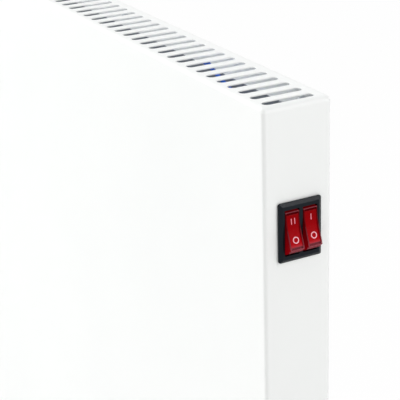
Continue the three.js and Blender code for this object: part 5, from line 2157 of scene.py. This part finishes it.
@dataclass
class Heating:
    """Two finned elements on their brackets, the heat shield with its uprights, and the cut-out."""

    stages: tuple[str, str] = ("one", "two")
    rod: float = 3.9
    rod_ease: float = 0.7
    blade: Triple = (8.0, 0.8, 6.3)
    blade_root: float = 2.0
    blade_point: Pair = (0.8, 0.78)
    bush_shoulder: float = 7.2
    bush_barrel: float = 6.0
    bush_bore: float = 4.2
    bush_ease: float = 0.35
    shoulder_length: float = 3.0
    fin_edge: float = 0.2
    bracket_edge: float = 0.2
    shield_edge: float = 0.15
    cutout_edge: float = 0.3
    grommet_bore: float = 3.0
    grommet_flange: Pair = (6.4, 1.9)
    grommet_groove: Pair = (4.5, 0.5)
    grommet_ease: float = 0.5
    brackets: tuple[str, ...] = (
        "element_bracket_left", "element_bracket_right", "upright_left", "upright_right"
    )

    def rods(self) -> None:
        """Sheathed rods with a flat blade at each end, rolled in towards the blade."""
        for stage in self.stages:
            node = f"element_rod_{stage}"
            low, high = node_box(node)
            length, thickness, width = self.blade
            middle = (low + high) / 2
            half = (high[0] - low[0]) / 2 - length
            profile = [(0, -half), (self.rod, -half), (self.rod, half), (0, half)]
            rings = revolved(rounded(profile, self.rod_ease), np.zeros(3), 32)
            shell = Shell().grid(middle + rings[..., [1, 0, 2]], wrap=True)
            flat = np.array([(-1, -1), (1, -1), (1, 1), (-1, 1)]) * (thickness / 2, width / 2)
            point, narrow = self.blade_point
            for side in (-1, 1):
                near, far = side * (half - self.blade_root), side * (half + length)
                places = [(near, 1.0), (far - side * point, 1.0), (far, narrow)]
                rings = [middle + np.insert(flat * (1, scale), 0, x, axis=1) for x, scale in places]
                shell.loft(np.array(rings))
            settle(shell.build(f"sheathed_rod_{stage}"), SHEATH, "sheath_steel", node)

    def bushes(self) -> None:
        """Ceramic collars that carry the rods in the brackets."""
        for stage in self.stages:
            for end, side in (("left", -1), ("right", 1)):
                node = f"element_bush_{stage}_{end}"
                low, high = node_box(node)
                middle = (low + high) / 2
                inner = (low if side > 0 else high)[0]
                length = high[0] - low[0]
                profile = [
                    (self.bush_bore, 0),
                    (self.bush_shoulder, 0),
                    (self.bush_shoulder, self.shoulder_length),
                    (self.bush_barrel, self.shoulder_length),
                    (self.bush_barrel, length),
                    (self.bush_bore, length),
                    (self.bush_bore, 0),
                ]
                rings = revolved(rounded(profile, self.bush_ease, 3), np.zeros(3), 40)
                swapped = rings[..., [1, 0, 2]] * (side, 1, 1)
                shell = Shell().grid(np.array([inner, middle[1], middle[2]]) + swapped, wrap=True)
                settle(shell.build(f"ceramic_bush_{stage}_{end}"), STEATITE, "steatite", node)

    def build(self) -> None:
        """Make the turned pieces, and finish the folded and extruded ones where they stand."""
        self.rods()
        self.bushes()
        nodes = frame["nodes"]
        for stage in self.stages:
            soften(nodes[f"element_fins_{stage}"], self.fin_edge)
            FIN_ALUMINIUM.dress(nodes[f"element_fins_{stage}"])
        for name in self.brackets:
            soften(nodes[name], self.bracket_edge)
            ZINC.dress(nodes[name])
        soften(nodes["heat_shield"], self.shield_edge)
        SHIELD_STEEL.dress(nodes["heat_shield"])
        soften(nodes["overheat_cutout"], self.cutout_edge)
        BLACK_POLYAMIDE.dress(nodes["overheat_cutout"])
        low, high = node_box("shield_grommet")
        middle = (low + high) / 2
        (flange, side), (groove, lip) = self.grommet_flange, self.grommet_groove
        outside = [(flange, -side), (flange, -lip), (groove, -lip)]
        outside += [(radius, -place) for radius, place in outside[::-1]]
        profile = [(self.grommet_bore, -side), *outside, (self.grommet_bore, side)]
        closed = [*rounded(profile, self.grommet_ease), profile[0]]
        grommet = Shell().grid(revolved(closed, middle), wrap=True)
        settle(grommet.build("rubber_grommet"), RUBBER, "black_rubber", "shield_grommet")


@dataclass
class Terminals:
    """Terminal block with a clamping screw in each way, and the nut on the earth screw."""

    ways: int = 4
    screw: float = 1.6
    screw_edge: float = 0.15
    screw_height: float = 3.0
    screw_depth: float = 1.5
    block_edge: float = 0.4
    nut_edge: float = 0.25

    def build(self) -> None:
        """Round the block and the earth nut, and set the block's screws."""
        block = frame["nodes"]["terminal_block"]
        soften(block, self.block_edge)
        PALE_POLYAMIDE.dress(block)
        low, high = node_box("terminal_block")
        pitch = (high[0] - low[0]) / self.ways
        profile = [
            (0, 0),
            (self.screw - self.screw_edge, 0),
            (self.screw, self.screw_edge),
            (self.screw, self.screw_height),
            (0, self.screw_height),
        ]
        for way in range(self.ways):
            x = low[0] + (way + 0.5) * pitch
            place = np.array([x, low[1] + self.screw_depth, (low[2] + high[2]) / 2])
            shell = Shell().grid(revolved(profile, place, 32), wrap=True)
            settle(shell.build(f"terminal_screw_{way + 1}"), NICKEL, "nickel_brass")
        nut = frame["nodes"]["earth_nut"]
        soften(nut, self.nut_edge)
        NICKEL.dress(nut)


# Stage


@dataclass(frozen=True)
class Lamp:
    """Square soft lamp: its place and its side in millimetres, and its power in watts."""

    name: str
    place: Triple
    size: float
    power: float


@dataclass
class Studio:
    """Camera at the photograph's place, soft lamps, a white surround and a pale floor.

    The camera's place and directions were worked out from the photograph's edges and slots.
    """

    azimuth: float = 61.985
    pitch: float = 21.834
    roll: float = -1.826
    place: Triple = (841.05, -369.16, 258.91)
    focal_pixels: float = 1384.057
    centre_pixels: Pair = (200.304, 199.91)
    image: float = 400.0
    sensor: float = 36.0
    floor_drop: float = 260.0
    surround: float = 0.62
    clip: float = 0.01
    paper: str = "#f4f4f3"
    floor_size: float = 6000.0
    floor_white: float = 0.96
    aim: Triple = (100.0, -38.0, -100.0)
    lamps: tuple[Lamp, ...] = (
        Lamp("key", (-6020, -5978, 2780), 4800, 255.0),
        Lamp("side", (2175, 716, 544), 1000, 6.6),
        Lamp("top", (-2500, -2638, 3540), 2400, 78.0),
        Lamp("rim", (1128, 485, 713), 260, 2.4),
    )
    duct_depth: float = 34.0
    duct_end: float = 30.0
    duct_share: float = 0.7
    duct_powers: Pair = (0.02, 0.07)

    def camera(self) -> None:
        """Camera whose axes come from its azimuth, its pitch down and its roll."""
        a, p, roll = (radians(value) for value in (self.azimuth, self.pitch, self.roll))
        ahead = np.array([-sin(a) * cos(p), cos(a) * cos(p), -sin(p)])
        right = np.array([cos(a), sin(a), 0.0])
        up = np.cross(right, ahead)
        tilted_right = cos(roll) * right + sin(roll) * up
        tilted_up = cos(roll) * up - sin(roll) * right
        turn = np.eye(4)
        turn[:3, 0], turn[:3, 1], turn[:3, 2] = tilted_right, tilted_up, -ahead
        turn[:3, 3] = np.array(self.place) * MM
        data = bpy.data.cameras.new("camera")
        data.sensor_width = self.sensor
        data.lens = self.focal_pixels / self.image * self.sensor
        data.shift_x = (self.image / 2 - self.centre_pixels[0]) / self.image
        data.shift_y = (self.centre_pixels[1] - self.image / 2) / self.image
        data.clip_start = self.clip
        camera = bpy.data.objects.new("camera", data)
        camera.matrix_world = Matrix(turn.tolist())
        bpy.context.scene.collection.objects.link(camera)
        bpy.context.scene.camera = camera

    def hang(self, lamp: Lamp) -> None:
        """Put up a lamp that looks at the switch end of the heater.

        Args:
            lamp: its name, place, size and power.
        """
        data = bpy.data.lights.new(lamp.name, "AREA")
        data.size = lamp.size * MM
        data.energy = lamp.power
        light = bpy.data.objects.new(lamp.name, data)
        light.location = Vector(lamp.place) * MM
        light.rotation_mode = "QUATERNION"
        ahead = Vector(self.aim) * MM - light.location
        light.rotation_quaternion = ahead.to_track_quat("-Z", "Y")
        bpy.context.scene.collection.objects.link(light)

    def duct_lamp(self, name: str, front: float, rear: float, power: float) -> None:
        """Long soft lamp deep in one air duct, facing up: the daylight a lit room leaves there.

        Args:
            name: lamp's name.
            front: duct's front wall, along Y in millimetres.
            rear: its rear wall.
            power: in watts.
        """
        low, high = node_box("front_casing")
        data = bpy.data.lights.new(name, "AREA")
        data.shape = "RECTANGLE"
        data.size = (high[0] - low[0] - self.duct_end) * MM
        data.size_y = self.duct_share * (rear - front) * MM
        data.energy = power
        lamp = bpy.data.objects.new(name, data)
        middle = ((low[0] + high[0]) / 2, (front + rear) / 2, high[2] - self.duct_depth)
        lamp.location = Vector(middle) * MM
        lamp.rotation_euler = (pi, 0, 0)
        lamp.visible_camera = False
        lamp.visible_glossy = False
        bpy.context.scene.collection.objects.link(lamp)

    def looked_at(self, tree: bpy.types.NodeTree) -> Socket:
        """One for rays from the camera, off a gloss or through glass, and nothing for the rest.

        Args:
            tree: nodes of the floor or of the surround.

        Returns:
            The output that says so.
        """
        path = add_node(tree, "LightPath")
        found = path.outputs["Is Camera Ray"]
        for ray in ("Is Glossy Ray", "Is Transmission Ray"):
            both = {0: found, 1: path.outputs[ray]}
            either = add_node(tree, "Math", links=both, operation="MAXIMUM")
            found = either.outputs["Value"]
        return found

    def floor(self) -> None:
        """Pale sheet below the heater, seen nearly white and still taking a soft shadow."""
        low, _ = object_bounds()
        middle = np.array([0.0, 0.0, low[2] / MM - self.floor_drop])
        corner = np.array([(-1, -1, 0), (1, -1, 0), (-1, 1, 0), (1, 1, 0)]) * self.floor_size
        sheet = Shell().grid((corner + middle).reshape(2, 2, 3)).build("floor_sheet")
        paper = bpy.data.materials.new("pale_studio_floor")
        paper.use_nodes = True
        tree = paper.node_tree
        tree.nodes.clear()
        matt = add_node(tree, "BsdfDiffuse", {"Color": linear(self.paper)})
        white = {"Color": (1, 1, 1, 1), "Strength": 1.0}
        glow = add_node(tree, "Emission", white)
        share = add_node(
            tree, "Math", {1: self.floor_white}, {0: self.looked_at(tree)}, operation="MULTIPLY"
        )
        inputs = {0: share.outputs["Value"], 1: matt.outputs["BSDF"], 2: glow.outputs["Emission"]}
        mixed = add_node(tree, "MixShader", links=inputs)
        add_node(tree, "OutputMaterial", links={"Surface": mixed.outputs["Shader"]})
        sheet.data.materials.append(paper)
        sheet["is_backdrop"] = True

    def world(self) -> None:
        """Even surround: white where it is seen, and softer where it lights the heater."""
        world = bpy.data.worlds.new("surround")
        bpy.context.scene.world = world
        world.use_nodes = True
        tree = world.node_tree
        tree.nodes.clear()
        strength = add_node(
            tree,
            "MapRange",
            {"To Min": self.surround, "To Max": 1.0},
            {"Value": self.looked_at(tree)},
        )
        light = add_node(
            tree, "Background", {"Color": (1, 1, 1, 1)}, {"Strength": strength.outputs["Result"]}
        )
        add_node(tree, "OutputWorld", links={"Surface": light.outputs["Background"]})

    def build(self) -> None:
        """Set up the whole stage."""
        self.camera()
        self.world()
        self.floor()
        for lamp in self.lamps:
            self.hang(lamp)
        shield_low, shield_high = node_box("heat_shield")
        casing_low, casing_high = node_box("front_casing")
        before, behind = self.duct_powers
        self.duct_lamp("front_duct_light", casing_low[1], shield_low[1], before)
        self.duct_lamp("rear_duct_light", shield_high[1], casing_high[1], behind)
        bpy.context.scene.view_settings.view_transform = "Standard"


def corners(box: tuple[Vector, Vector]) -> list[list[float]]:
    """Two corners of a box as plain lists."""
    return [list(corner) for corner in box]


def main() -> None:
    """Build the sub-assemblies in order, then the stage."""
    logging.basicConfig(level=logging.INFO, format="%(name)s %(message)s")
    cad_box = corners(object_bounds())
    for part in (
        Casing(),
        RearPanel(),
        TwinSwitch(),
        Leads(),
        Heating(),
        Terminals(),
        CableEntry(),
        WallFixings(),
        Fastenings(),
    ):
        log.info("building %s", type(part).__name__)
        part.build()
    Studio().build()
    {"cad": cad_box, "visual": corners(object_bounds())}


if __name__ == "__main__":
    main()
